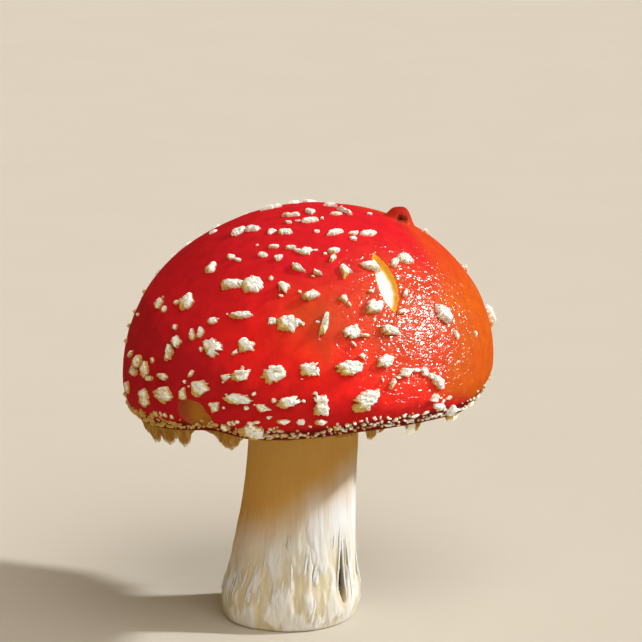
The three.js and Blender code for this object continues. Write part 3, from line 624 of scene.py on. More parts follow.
def wart_shape(azimuth, polar, width, length, turn=0, brown_and_shade=0, *, rise, rng, fine=1.0):
    """A torn scrap of veil: a lumpy top, sloping ragged sides and a root under the skin.

    The more brown it is given, the browner it is all over, and the finer, the more points it has.
    """
    columns = int(np.clip(8 * fine * (width + length), 12, 84))
    angles = np.arange(columns) * FULL_TURN / columns
    body, fray = torn_outline(angles, rng)
    steps = max(2, round(columns / 8))
    sides = WART_SIDES if columns > 20 else WART_SIDES[:, 1::2]
    shares = np.concatenate([np.linspace(0.08, 0.70, steps), sides[0]])[:, None]
    levels = np.concatenate([np.linspace(1.0, 0.96, steps), sides[1]])[:, None]
    outline = body + fray * ease(shares, 0.60, 1.0)
    x = shares * outline * np.cos(angles) * width / 2
    y = shares * outline * np.sin(angles) * length / 2
    # Low on the cap the scraps have split crosswise, into shaggy layers.
    layered = ease(polar, 62, 80)
    stand = curds(x, y, (width, length), (mix(1.5, 2.4, layered), mix(1.2, 0.75, layered)), rng)
    crown = ease(polar, 48, 24)
    rise = rise * mix(1, 0.62, crown)
    slant = rng.uniform(-0.35, 0.35, 2)
    grip = np.clip(levels, 0, 1)
    height = levels * rise * (1 + slant[0] * x / width + slant[1] * y / length)
    spot = np.stack([x, y, height], -1) + rng.uniform(-500, 500, 3)
    height = height + grip * rise * 0.17 * stand
    height = height + grip * min(0.30, 0.26 * rise) * noise(spot, size=0.7, seed=21)
    push = 1 + 0.12 * noise(spot, size=0.6, seed=51, octaves=2) * grip
    x, y = x * push, y * push
    spin = math.radians(turn)
    across = x * math.cos(spin) - y * math.sin(spin)
    upward = x * math.sin(spin) + y * math.cos(spin)
    # Painted shade: the side away from the sun is painted ochre, and so is the foot all round where
    # it meets the skin.
    side = np.clip(-0.80 * np.cos(angles + spin) - 0.55 * np.sin(angles + spin), 0, 1)
    # High on the cap and on the flank towards the sun less shade is painted, so they are whiter.
    less_shade = max(crown, ease(azimuth, 18, 40))
    shade_ochre = ease(shares, 0.15, 0.75) * side * rng.uniform(0.5, 1.3) * mix(1, 0.35, less_shade)
    foot = ease(shares, 0.90, 1.0) * mix(0.4, 0.15, less_shade)
    return grid_shape(
        patch_to_skin(polar, azimuth, across, upward, height),
        foot=np.clip(shade_ochre + brown_and_shade + foot, 0, 1.4),
        pit=np.clip(-0.6 * stand, 0, 1) * grip,
    )


def far_warts(draw):
    return [
        (
            mix(180 - reach, 180 + reach, (i + mix(0.25, 0.75, next(draw))) / count),
            polar + mix(-3, 3, next(draw)),
            mean * mix(0.7, 1.35, next(draw)),
            mean * mix(0.55, 1.05, next(draw)),
            mix(-25, 25, next(draw)),
        )
        for polar, count, mean, reach in FAR_ROWS
        for i in range(count)
    ]


def far_flaps(draw):
    return [
        (
            mix(*FAR_FLAP_SPAN, (i + mix(0.2, 0.8, next(draw))) / FAR_FLAP_COUNT),
            mix(*FAR_FLAP_WIDTH, next(draw)),
            mix(*FAR_FLAP_HANG, next(draw)),
        )
        for i in range(FAR_FLAP_COUNT)
    ]


def beside(place, rng):
    """A crumb that has broken off a scrap and lies just beside it."""
    azimuth, polar, width, length = place[:4]
    side = rng.uniform(0, FULL_TURN)
    per_round, per_up = mm_per_degree(polar, azimuth)
    across = (width * 0.5 + 0.7) * math.cos(side) / per_round
    upward = (length * 0.5 + 0.5) * math.sin(side) / per_up
    size = rng.uniform(0.6, 1.4)
    return azimuth + across, polar - upward, size, size * rng.uniform(0.5, 0.9)


def warts_shape(places, seed):
    """Scraps of veil, and beside every other large one a crumb."""
    rng = np.random.default_rng(seed)
    shapes = []
    for place in places:
        larger = max(place[2:4])
        shapes.append(wart_shape(*place, rise=float(profile(WART_RISES, larger)), rng=rng))
        if larger > 3 and rng.random() < 0.5:
            shapes.append(wart_shape(*beside(place, rng), rise=0.4, rng=rng, fine=1.4))
    return joined(shapes)


# --- Torn veil along the margin ---------------------------------------------------------------

def margin_crumbs_shape():
    """Flakes where the veil has torn away: clumps, and ragged rows of small ones at the edge."""
    rng = np.random.default_rng(MARGIN_SEED)
    shapes = []
    for place in MARGIN_FLAKES:
        rise = 0.3 + 0.22 * min(place[2:4])
        shapes.append(wart_shape(*place, rise=rise, rng=rng, fine=1.2))
    for polar, count, width, length in MARGIN_ROWS:
        for i in range(count):
            azimuth = (i + rng.uniform(-0.5, 0.5)) * 360 / count
            # They come in clumps with gaps between.
            spot = circle(np.array([azimuth]), 30) + [0, 0, polar * 1.2]
            if noise(spot, size=3.1, seed=29, octaves=1)[0] < rng.uniform(-1.1, 0.3):
                continue
            place = (azimuth, polar + rng.uniform(-1.1, 1.1))
            size = (width * rng.uniform(0.5, 1.6), length * rng.uniform(0.6, 1.4))
            # Flakes on the side away from the sun are given more brown as painted shade.
            brown_and_shade = rng.uniform(0, 0.5) + 0.4 * ease(turn_from(0, azimuth), -30, -50)
            turn = rng.normal(0, 16)
            flake = wart_shape(*place, *size, turn, brown_and_shade, rise=0.35, rng=rng, fine=0.5)
            shapes.append(flake)
    return joined(shapes)


def fringe_shape(flaps):
    """The thin remains of the veil that hang from inside the lip, with torn hems."""
    azimuth = around(FRINGE_COLUMNS)
    turned = turn_from(0, azimuth)
    ring = circle(azimuth, 40)
    far = 0.55 + 0.35 * noise(ring, size=5, seed=61)
    ragged = 0.6 * noise(ring, size=2.5, seed=67, octaves=2)
    for place, width, drop in flaps:
        gap = turn_from(place, azimuth) * math.radians(FRINGE_RADIUS) + ragged
        lobe = np.maximum(0, 1 - (2 * gap / (width * 1.15)) ** 2) ** 0.55
        far = np.maximum(far, drop * lobe)
    near = np.interp(turned, *zip(*NEAR_HEM))
    hang = np.where((turned > NEAR_HEM[0][0]) & (turned < NEAR_HEM[-1][0]), near, far)
    torn = 0.20 * noise(ring, size=1.6, seed=71)
    torn = torn + 0.26 * noise(ring, size=0.7, seed=77, octaves=2)
    hang = np.maximum(hang + torn * np.minimum(hang, 1.6), 0.12)
    wander = 0.5 * noise(ring, size=7, seed=83, octaves=2)
    curl = 0.9 * noise(ring, size=4, seed=89, octaves=2)
    thick = 0.42 + 0.12 * noise(ring, size=2, seed=97, octaves=2)
    grids, shares = [], []
    for side, order in SHEET_FACES:
        for share, slim in FRINGE_TAPER[order]:
            down = max(share, 0)
            fall = down * (hang + FRINGE_ROOT) if share >= 0 else -1.2
            bend = down**2 * (curl + 0.25 * hang) + wander * down
            radius = FRINGE_RADIUS + side * thick * slim / 2 - 0.28 * bend
            if share > 0:
                spot = ring + [0, 0, 3.0 * share]
                radius = radius + 0.12 * noise(spot, (1.1, 1.1, 2.5), 103, octaves=2)
            grids.append(cap_place(radius, FRINGE_LEVEL - fall, azimuth))
            shares.append(share)
    return grid_shape(
        np.stack(grids),
        closed_rows=True,
        hem=ease(np.array(shares), 0.80, 1.0)[:, None],
        long=ease(hang, 0.8, 2.5),
        pale=sum(np.exp(-(((turned - place) / reach) ** 2)) for place, reach in PALE_SCRAPS),
    )


# --- Gills ------------------------------------------------------------------------------------

def gill_blade(azimuth, start, end, rng, thickness):
    """One blade from a radius to a radius, hanging from the flesh down to the gills' edge."""
    stations, levels = 15, 5
    radius = np.linspace(start, end, stations)
    top = profile(FLESH_UNDERSIDE, radius, 2) + 0.25
    edge = profile(GILL_EDGE, radius, 3)
    # A blade that starts at the stem is soon at its full depth, and a short one tapers.
    full = ease(radius, start - 0.4, start + (2.5 if start < 18 else 7))
    low = mix(top - 0.6, edge + rng.uniform(0, 0.25), full)
    share = np.linspace(0, 1, levels)
    height = top[:, None] + (low - top)[:, None] * share
    half = thickness / 2 * np.linspace(1.25, 0.55, levels)
    bend = rng.uniform(0.1, 0.35) * np.sin(radius / rng.uniform(3.5, 7) + rng.uniform(0, 6))
    sway = bend[:, None] * share + rng.uniform(-0.2, 0.2) * share
    faces = []
    for side, order in SHEET_FACES:
        turn = azimuth + np.degrees((sway + side * half)[:, order] / radius[:, None])
        faces.append(cap_place(radius[:, None], height[:, order], turn))
    return grid_shape(np.concatenate(faces, 1), edge=np.concatenate([share, share[::-1]]))


def gills_shape():
    rng = np.random.default_rng(GILL_SEED)
    blades = []
    for group, (part, (start, thickness)) in itertools.product(
        range(GILL_GROUPS), enumerate(GILL_GROUP)
    ):
        place = group + part / len(GILL_GROUP) + rng.uniform(-0.035, 0.035)
        begin = start + (rng.uniform(-2.5, 2.5) if part else rng.uniform(0, 0.5))
        end = GILL_END + rng.uniform(-0.3, 0.1)
        blades.append(gill_blade(place * 360 / GILL_GROUPS, begin, end, rng, thickness))
    return joined(blades)


# --- The ring ---------------------------------------------------------------------------------

def stem_axis(height):
    below = np.maximum(0, 1 - np.asarray(height, float) / LEAN_END)
    return LEAN * (1 - below**LEAN_EASE)


def ring_shape():
    """A hanging skirt, grooved by the gills it once covered, with a thicker torn hem."""
    azimuth = around(RING_COLUMNS)
    turn = np.radians(azimuth)
    radii, heights = (np.array(v, float) for v in zip(*RING_PROFILE))
    run = np.concatenate([[0], np.cumsum(np.hypot(np.diff(radii), np.diff(heights)))])
    share = np.linspace(0, 1, RING_STEPS)
    radius, height = (
        profile(list(zip(run / run[-1], values)), share, 0.06) for values in (radii, heights)
    )
    spot = circle(azimuth, 20)
    hem = 0.5 * noise(spot, size=4, seed=101)
    hem = hem + 0.35 * noise(spot, size=1.2, seed=107, octaves=2)
    slope = np.stack([np.gradient(radius), np.gradient(height)], -1)
    slope /= np.linalg.norm(slope, axis=-1, keepdims=True)
    grids, shares = [], []
    for side, order in SHEET_FACES:
        for i in np.arange(len(share))[order]:
            fall = share[i]
            wave = RING_WAVE * fall**2 * np.sin(turn * RING_FOLDS) + 0.5 * fall**2 * hem
            thick = 0.34 + 0.34 * ease(fall, 0.86, 0.95) * (1 + 0.5 * hem)
            thick = thick * (1 - 0.85 * ease(fall, 0.985, 1.0))
            groove = 0.11 * np.sin(turn * RING_GROOVES) * ease(fall, 0.05, 0.3)
            offset = side * thick + groove * (fall < 0.9)
            reach = radius[i] - slope[i, 1] * offset + wave
            level = height[i] + slope[i, 0] * offset - 0.5 * wave * fall - 0.45 * hem * fall**6
            x = stem_axis(WIDEST_LEVEL + height[i]) + reach * np.sin(turn)
            grids.append(np.stack([x, -reach * np.cos(turn), WIDEST_LEVEL + level], -1))
            shares.append(fall)
    hem_share = ease(np.array(shares), 0.85, 0.93)[:, None]
    return grid_shape(np.stack(grids), closed_rows=True, hem=hem_share)


# --- The stem ---------------------------------------------------------------------------------

def stem_point(height, azimuth, stand=0.0):
    """A point of the stem's smooth side, with how far it stands out of it."""
    radius = profile(STEM_PROFILE, height, 3) + stand
    turn = np.radians(azimuth)
    place = (stem_axis(height) + radius * np.sin(turn), -radius * np.cos(turn), height)
    return np.stack(np.broadcast_arrays(*place), -1)


def stem_relief(height, azimuth):
    """Fine fibres all over and soft torn flakes towards the foot, with one deep split."""
    spot = stem_point(height, azimuth)
    fibres = noise(spot, (0.8, 0.8, 18), seed=113)
    swell = noise(spot, (7, 7, 22), seed=127, octaves=2)
    ragged = height + 9 * noise(spot, (5, 5, 12), seed=131)
    torn = 1 - ease(ragged, *FLAKE_SPAN)
    broad = ease(noise(spot, (3.2, 3.2, 11), seed=137), -0.16, 0.2)
    narrow = ease(noise(spot, (1.6, 1.6, 7), seed=151), -0.1, 0.25)
    flakes = 0.75 * broad + 0.25 * narrow
    relief = 0.09 * fibres + 0.22 * swell + torn * (0.55 * flakes - 0.3 + 0.12 * fibres)
    wander = 3 * noise(spot, (3, 3, 5), seed=139, octaves=2)
    upward = (height - SPLIT["height"]) / SPLIT["half_height"]
    gape = SPLIT["width"] * np.interp(upward, *zip(*SPLIT_GAPE))
    across = (azimuth - SPLIT["azimuth"] + wander) / gape
    split = np.maximum(0, 1 - across**2 - upward**4)
    return relief - SPLIT["depth"] * ease(split, 0.0, 0.7), split, torn * flakes


def stem_shape():
    """The side, and a foot that is cut flat but for a little unevenness."""
    height = STEM_TOP * np.linspace(0, 1, STEM_ROWS) ** 1.25
    height, azimuth = np.meshgrid(height, around(STEM_COLUMNS), indexing="ij")
    relief, split, flake = stem_relief(height, azimuth)
    rounding = 0.7 * (1 - np.minimum(height / 0.9, 1)) ** 2
    relief = relief * ease(height, -0.3, 1.5) - rounding
    side = stem_point(height, azimuth, relief)
    centre = np.array([stem_axis(0.0), 0, 0])
    shares = np.linspace(0.03, 0.985, FOOT_RINGS)[:, None]
    foot = centre + (side[0] - centre) * shares[..., None]
    foot[..., 2] = 0.09 * (1 + noise(foot, size=1.6, seed=149)) * (1 - shares**8)
    plain = np.zeros(foot.shape[:2])
    return grid_shape(
        np.concatenate([foot, side]),
        split=np.concatenate([plain, split]),
        flake=np.concatenate([plain, flake]),
        cut=np.concatenate([plain + shares + 1, 0 * split]),
    )


def sliver(places, width, thickness, rng):
    """A thin torn strand through (azimuth, height, stand) places, pointed at both ends."""
    places = np.array(places, float)
    along = np.linspace(0, len(places) - 1, 4 * len(places))
    azimuth, height, stand = (np.interp(along, range(len(places)), axis) for axis in places.T)
    share = np.linspace(0, 1, len(along))
    taper = np.clip(np.minimum(share * 5, (1 - share) * 2.6), 0.12, 1)
    half = width / 2 * taper * (1 + 0.25 * np.sin(share * rng.uniform(8, 20)))
    radius = profile(STEM_PROFILE, height)
    loops = []
    for across, lift in ((-1, 0), (-0.4, 0.5), (0.4, 0.5), (1, 0), (0.3, -0.5), (-0.3, -0.5)):
        turn = azimuth + np.degrees(across * half / radius)
        loops.append(stem_point(height, turn, stand + lift * thickness * taper))
    return grid_shape(np.stack(loops, 1), split=0.0, flake=1.0, cut=0.0)


def stem_flakes_shape():
    """Upright slivers of torn fibre that stand away from the foot, and strands over the split."""
    rng = np.random.default_rng(STEM_SEED)
    shapes = []
    for _ in range(SLIVER_COUNT):
        azimuth = rng.uniform(0, 360)
        middle = rng.triangular(3, 10, 31)
        reach = rng.uniform(1.5, 5)
        peel = rng.uniform(0.0, 0.3)
        lean = rng.uniform(-3.5, 3.5)
        stands = [-0.35, -0.05, 0.05, peel]
        if rng.random() > 0.6:
            stands = stands[::-1]
        heights = middle + reach * np.array([-1, -0.35, 0.35, 1])
        beside_split = abs(azimuth - SPLIT["azimuth"]) < SPLIT["width"] / 2
        if heights[0] < 0.5 or beside_split:
            continue
        turns = azimuth + lean * np.array([0, 0.2, 0.6, 1.2])
        width, thickness = rng.uniform(0.4, 1.3), rng.uniform(0.12, 0.22)
        shapes.append(sliver(list(zip(turns, heights, stands)), width, thickness, rng))
    for strand in SPLIT_STRANDS:
        shapes.append(sliver(strand, 0.9, 0.4, rng))
    return joined(shapes)


# --- Materials --------------------------------------------------------------------------------

class Graph:
    """A short way to add nodes to a material."""

    def __init__(self, name, **inputs):
        self.material = bpy.data.materials.new(name)
        self.material.use_nodes = True
        self.tree = self.material.node_tree
        self.shader = self.tree.nodes["Principled BSDF"]
        self.fill(self.shader, Specular_IOR_Level=0.0, **inputs)
        self.place = self.node("TexCoord", "Object")

    def fill(self, node, **inputs):
        """Links or sets sockets by name, with _ for a space, or by index, as in _0."""
        for key, value in inputs.items():
            socket = node.inputs[int(key[1:]) if key[1:].isdigit() else key.replace("_", " ")]
            if isinstance(value, bpy.types.NodeSocket):
                self.tree.links.new(value, socket)
            else:
                socket.default_value = value

    def finish(self, **inputs):
        self.fill(self.shader, **inputs)
        return self.material

    def node(self, kind, output, settings=None, **inputs):
        """Adds a node and gives one of its outputs."""
        made = self.tree.nodes.new("ShaderNode" + kind)
        for name, value in (settings or {}).items():
            setattr(made, name, value)
        self.fill(made, **inputs)
        return made.outputs[output]

    def value(self, name):
        """The values that a shape has for its points under this name."""
        return self.node("Attribute", "Fac", {"attribute_name": name})

    def axis(self, name):
        return self.node("SeparateXYZ", name, Vector=self.place)

    def math(self, operation, a, b, c=0.0):
        return self.node("Math", 0, {"operation": operation}, _0=a, _1=b, _2=c)

    def times(self, a, b):
        return self.math("MULTIPLY", a, b)

    def scaled(self, value, by, plus):
        return self.math("MULTIPLY_ADD", value, by, plus)

    def most(self, a, b):
        return self.math("MAXIMUM", a, b)

    def rest(self, share):
        """What is left of 1."""
        return self.math("SUBTRACT", 1.0, share)

    def ease(self, value, low, high):
        """From 0 to 1 as a value goes from low to high, eased at both ends."""
        settings = {"interpolation_type": "SMOOTHSTEP"}
        return self.node("MapRange", "Result", settings, Value=value, From_Min=low, From_Max=high)

    def ramp(self, value, *stops):
        """A colour or a share by a value: stops are (position, colour or grey)."""
        output = self.node("ValToRGB", "Color", Fac=value)
        elements = output.node.color_ramp.elements
        for i, (position, colour) in enumerate(stops):
            element = elements[i] if i < 2 else elements.new(position)
            element.position = position
            element.color = (*(colour if isinstance(colour, tuple) else [colour] * 3), 1)
        return output

    def climb(self, value, low, high, top=1.0):
        """From 0 to a top as a value goes from low to high, in a straight line."""
        return self.ramp(value, (low, 0.0), (high, top))

    def noise(self, size_mm, detail, stretch=(1, 1, 1), distortion=0.0):
        """Noise from 0 to 1 with blobs about size_mm wide, drawn out by stretch along each axis."""
        scale = tuple(1 / (MM * size_mm * s) for s in stretch)
        moved = self.node("Mapping", 0, Vector=self.place, Scale=scale)
        inputs = {"Vector": moved, "Scale": 1.0, "Detail": detail, "Distortion": distortion}
        return self.node("TexNoise", "Fac", **inputs)

    def distance(self, spot):
        settings = {"operation": "DISTANCE"}
        return self.node("VectorMath", "Value", settings, _0=self.place, _1=spot)

    def paint(self, base, *coats):
        """Lays colours over a base one after another, each as (where, colour)."""
        for where, colour in coats:
            a, b = ((*c, 1) if isinstance(c, tuple) else c for c in (base, colour))
            base = self.node("Mix", 2, {"data_type": "RGBA"}, _0=where, _6=a, _7=b)
        return base

    def bump(self, height, distance_mm, strength, **onto):
        """A bumpy normal, on top of another one where Normal is given."""
        inputs = {"Height": height, "Distance": MM * distance_mm, "Strength": strength}
        return self.node("Bump", "Normal", **inputs, **onto)


CRIMSON = (0.24, 0.008, 0.013)
RED = (0.66, 0.015, 0.021)
SCARLET = (0.63, 0.030, 0.020)
# Brighter reds painted as light on the middle of the near side
PAINTED_LIT_RED = (0.90, 0.021, 0.017)
PAINTED_LIT_SCARLET = (0.86, 0.042, 0.016)
VERMILION = (0.60, 0.058, 0.014)
ORANGE = (0.57, 0.098, 0.008)
FLESH_YELLOW = (0.80, 0.36, 0.03)
FLESH_WHITE = (0.90, 0.86, 0.72)
EDGE_SHADE = (0.11, 0.008, 0.007)
# The bite's brown: partly browned flesh, partly painted shade in its hollow
SHADED_BITE_BROWN = (0.40, 0.155, 0.024)
SHADED_BITE_RED = (0.32, 0.062, 0.020)
# Painted shade on the raised lip of skin, and in the slit under it
LIP_SHADE_RED = (0.33, 0.012, 0.012)
LIP_SLIT_SHADE = (0.05, 0.02, 0.006)
WART_WHITE = (0.95, 0.99, 0.97)
WART_CREAM = (0.90, 0.90, 0.74)
WART_OCHRE = (0.60, 0.36, 0.035)
VEIL_BROWN = (0.36, 0.17, 0.03)
VEIL_TAN = (0.50, 0.30, 0.08)
VEIL_DARK = (0.14, 0.05, 0.008)
RING_WHITE = (0.87, 0.83, 0.70)
RING_CREAM = (0.80, 0.70, 0.48)
RING_OCHRE = (0.72, 0.50, 0.16)
GILL_CREAM = (0.86, 0.78, 0.58)
GILL_BUFF = (0.80, 0.68, 0.44)
GILL_PALE = (0.90, 0.86, 0.74)
STEM_WHITE = (0.80, 0.82, 0.85)
STEM_TAN = (0.60, 0.31, 0.03)
STEM_STRAW = (0.66, 0.58, 0.38)
SPLIT_DARK = (0.06, 0.03, 0.01)
PITH_WHITE = (0.86, 0.80, 0.62)
PITH_BUFF = (0.78, 0.68, 0.46)
# How far red, green and blue light travels inside flesh, against each other
FLESH_GLOW = (1.0, 0.8, 0.5)
GILL_GLOW = (1.0, 0.75, 0.4)

# The middle of an orange patch on the cap's face, and where the sun glances off its wet skin
SUNNED_PATCH = mm(9, -40, 92)
WET_PATCH = mm(32, -35, 92)
# Where the painted light on the middle of the near side starts, across the cap and up it, and where
# it ends
BRIGHT_ACROSS, BRIGHT_FROM, BRIGHT_TO = mm(-26, -4), mm(52, 66), mm(86, 106)
# Where the painted shade on the cap's side away from the sun ends, and where the bite's painted
# shade turns from red-brown to brown
SHADED_ACROSS, SHADED_BITE_ACROSS = mm(-48, -6), mm(-27, -23)
# The edge of the skin, in hundreds of degrees from the crown, where painted shade darkens it
EDGE_SHADE_POLAR = (1.035, 1.085)
# The heights over which the warts' painted shade fades out, counted as higher towards the sun
WART_SHADE_FADES = mm(30, 85)
# The heights over which the cap's painted shadow turns the stem tan on its shaded side and under
# the cap, and over which it becomes straw downwards
TAN_SHADED, SHADOW_TAN_UNDER_CAP, STRAW_BELOW = mm(27, 45), mm(38, 50), mm(22, 4)


def cap_reds(g, mottle):
    """The skin's reds by how near the margin is, with painted sunlight on the sun's side and
    painted shade away from it.
    """
    x, z = g.axis("X"), g.axis("Z")
    blotch = g.noise(14, 3)
    polar, flank = g.value("polar"), g.value("faded")
    # It turns vermilion and orange on the side towards the sun, most round the wet patch where the
    # sun glances off: partly sun-faded skin, partly painted sunlight.
    reach = g.scaled(blotch, 16 * MM, g.distance(SUNNED_PATCH))
    patch = g.rest(g.ease(reach, *mm(10, 25)))
    round_wet = g.rest(g.ease(g.distance(WET_PATCH), *mm(8, 28)))
    fade = g.most(flank, g.times(g.most(patch, round_wet), 0.62))
    faded = ((0.6, VERMILION), (1.0, ORANGE))
    # Painted light: the middle of the near side is painted a brighter red, as if more strongly lit.
    painted_lit = g.ramp(fade, (0.0, PAINTED_LIT_RED), (0.3, PAINTED_LIT_SCARLET), *faded)
    middle = g.times(g.ease(x, *BRIGHT_ACROSS), g.ease(z, *BRIGHT_FROM))
    middle = g.times(middle, g.rest(g.ease(z, *BRIGHT_TO)))
    # It deepens to crimson towards the margin, partly its own colour and partly painted shade where
    # it turns under, and away from the sun as painted shade.
    deep = g.scaled(blotch, 0.16, g.scaled(mottle, 0.08, polar))
    shaded = g.rest(g.ease(x, *SHADED_ACROSS))
    deep = g.climb(g.scaled(shaded, 0.16, g.scaled(x, -2.4, deep)), 0.92, 1.24, 0.44)
    # Painted shade: at the very edge, where it turns under the torn flakes, it is darkened almost
    # to black.
    stained = g.ease(g.scaled(mottle, 0.04, polar), *EDGE_SHADE_POLAR)
    return g.paint(
        g.ramp(fade, (0.0, RED), (0.3, SCARLET), *faded),
        (middle, painted_lit),
        (g.times(deep, g.scaled(flank, -0.9, 1.0)), CRIMSON),
        (g.climb(mottle, 0.35, 0.75, 0.3), CRIMSON),
        (g.times(stained, 0.85), EDGE_SHADE),
        (g.climb(g.noise(0.75, 2), 0.70, 0.78, 0.3), VERMILION),
        # Painted shade: the raised lip is a darker red, and its slit nearly black.
        (g.times(g.value("raised"), 0.75), LIP_SHADE_RED),
        (g.value("hollow"), LIP_SLIT_SHADE),
    )


def cap_material():
    """Wet red skin over flesh that is bare in the grazed places and underneath."""
    g = Graph("cap_skin", Roughness=0.6, Coat_Roughness=0.20, Coat_IOR=1.4)
    mottle = g.noise(3.2, 4)
    # Where a slug has grazed, a yellow line under the skin and then the flesh.
    bare = g.math("ADD", g.value("bare"), g.scaled(g.noise(1.1, 3), 0.5, -0.25))
    rim = g.climb(g.scaled(bare, 0.5, 0.5), 0.46, 0.54)
    # In the bite the flesh is painted brown, redder towards -X: partly browned flesh, partly
    # painted shade in the hollow.
    bite_shade = g.paint(SHADED_BITE_RED, (g.ease(g.axis("X"), *SHADED_BITE_ACROSS), SHADED_BITE_BROWN))
    flesh = g.paint(FLESH_YELLOW, (g.value("heart"), FLESH_WHITE), (g.value("stain"), bite_shade))
    underside = g.value("underside")
    colour = g.paint(
        cap_reds(g, mottle),
        (rim, flesh),
        (g.ease(underside, 0.0, 0.2), VEIL_DARK),
        (g.ease(underside, 0.6, 1.0), GILL_CREAM),
    )
    wet = g.rest(g.ease(g.distance(WET_PATCH), *mm(12, 32)))
    shine = g.times(g.scaled(wet, 0.34, 0.03), g.rest(g.most(rim, underside)))
    wrinkles = g.noise(2.1, 1.2, (1, 1, 0.6), 1.0)
    soft = g.bump(g.noise(6, 3), 0.3, 0.5)
    base = g.bump(wrinkles, 0.10, 0.5, Normal=soft)
    coat = g.bump(wrinkles, 0.74, 1.0, Normal=soft)
    return g.finish(Base_Color=colour, Coat_Weight=shine, Normal=base, Coat_Normal=coat)


def wart_material():
    g = Graph("veil_warts", Roughness=0.9)
    # The foot value holds the flakes' brown and the painted shade on the side away from the sun and
    # round the root.
    foot = g.math("ADD", g.value("foot"), g.scaled(g.noise(0.9, 4), 1.1, -0.5))
    # Low down and away from the sun they are painted ochre: painted shade.
    wart_shade = g.rest(g.ease(g.scaled(g.axis("X"), 1.1, g.axis("Z")), *WART_SHADE_FADES))
    tone = g.paint(
        WART_WHITE,
        (g.climb(g.noise(2.2, 3), 0.50, 0.75, 0.6), WART_CREAM),
        (g.climb(g.scaled(wart_shade, 0.34, foot), 0.25, 0.62, 0.9), WART_OCHRE),
        # Painted shade in the hollows between the curds
        (g.times(g.value("pit"), 0.45), WART_OCHRE),
        (g.climb(g.noise(0.42, 2), 0.57, 0.66, 0.7), WART_OCHRE),
    )
    broad = g.bump(g.noise(1.0, 3), 0.36, 0.8)
    return g.finish(Base_Color=tone, Normal=g.bump(g.noise(0.45, 3), 0.34, 1.0, Normal=broad))


def flesh_graph(name, roughness, glow, depth_mm, radius=FLESH_GLOW):
    """A graph for flesh that lets light in some way."""
    inputs = {"Subsurface_Weight": glow, "Subsurface_Scale": depth_mm * MM}
    return Graph(name, Roughness=roughness, Subsurface_Radius=radius, **inputs)


def fringe_material():
    """Torn veil: brown and streaked, with paler scraps and here and there a white torn hem."""
    g = flesh_graph("veil_fringe", 0.85, 0.1, 0.8)
    scraps = g.ramp(g.noise(1.0, 4), (0.44, 0.15), (0.56, 1.0))
    torn = g.times(g.times(g.value("hem"), g.value("long")), scraps)
    pale = g.scaled(g.noise(0.9, 3), 0.8, g.value("pale"))
    tone = g.paint(
        VEIL_BROWN,
        (g.climb(g.noise(1.6, 3, (1, 1, 2.5)), 0.40, 0.65), VEIL_TAN),
        (g.climb(g.noise(0.5, 3, (1, 1, 3)), 0.52, 0.66, 0.5), VEIL_DARK),
        # The cream torn hems are partly paler tissue, partly painted light on edges that catch the
        # sun.
        (torn, WART_CREAM),
        (g.climb(pale, 0.85, 1.05), WART_CREAM),
    )
    return g.finish(Base_Color=tone, Normal=g.bump(g.noise(0.5, 3, (1, 1, 2)), 0.2, 1.0))


def gill_material():
    g = flesh_graph("gill_flesh", 0.75, 0.2, 1.5, GILL_GLOW)
    edge = g.climb(g.value("edge"), 0.75, 1.0, 0.6)
    tone = g.paint(GILL_CREAM, (g.noise(6, 3), GILL_BUFF), (edge, GILL_PALE))
    return g.finish(Base_Color=tone, Normal=g.bump(g.noise(0.5, 3, (1, 1, 3)), 0.08, 0.6))


def ring_material():
    g = flesh_graph("veil_ring", 0.8, 0.15, 1.2)
    torn = g.times(g.value("hem"), g.climb(g.noise(1.2, 3), 0.48, 0.60))
    tone = g.paint(RING_WHITE, (g.noise(4, 3), RING_CREAM), (torn, RING_OCHRE))
    return g.finish(Base_Color=tone, Normal=g.bump(g.noise(0.4, 3, (1, 1, 5)), 0.12, 0.7))


def stem_material():
    g = flesh_graph("stem_flesh", 0.75, 0.12, 1.5)
    x, z, cut = g.axis("X"), g.axis("Z"), g.value("cut")
    blotch = g.noise(9, 3, (1, 1, 2))
    # Painted shadow: away from the sun and up under the cap, where the cap's shadow falls, the
    # white is painted tan.
    shaded = g.scaled(blotch, 12 * MM, g.scaled(x, -0.6, z))
    cap_shadow = g.most(g.ease(shaded, *TAN_SHADED), g.ease(z, *SHADOW_TAN_UNDER_CAP))
    # Towards the foot, between the torn flakes, it is straw-coloured.
    low = g.ease(g.scaled(blotch, -16 * MM, z), *STRAW_BELOW)
    low = g.times(low, g.scaled(g.value("flake"), -0.9, 1.0))
    # The cut foot is pith inside a tan rind: its value is 1 and the share of the way out.
    rind = g.climb(g.math("SUBTRACT", cut, 1.0), 0.80, 0.96, 0.6)
    tone = g.paint(
        STEM_WHITE,
        (g.climb(g.noise(1.4, 4, (1, 1, 16)), 0.42, 0.75, 0.4), STEM_STRAW),
        (g.times(cap_shadow, 0.92), STEM_TAN),
        (low, STEM_STRAW),
        # Painted shade inside the split
        (g.climb(g.value("split"), 0.10, 0.55, 0.97), SPLIT_DARK),
        (g.climb(cut, 0.9, 1.0), g.paint(PITH_WHITE, (g.noise(2, 4), PITH_BUFF), (rind, STEM_TAN))),
    )
    fine = g.bump(g.noise(0.45, 3, (1, 1, 12)), 0.12, 0.8)
    fibres = g.bump(g.noise(1.4, 3, (1, 1, 9)), 0.2, 0.5, Normal=fine)
    return g.finish(Base_Color=tone, Normal=fibres)


# --- The stage --------------------------------------------------------------------------------

VIEW_ELEVATION = 13
VIEW_DISTANCE = 0.9
LENS = 187
SENSOR = 36
# The cap's centre lies left of the picture's centre and below it.
AIM_OFFSET = (3.5, 12.1)
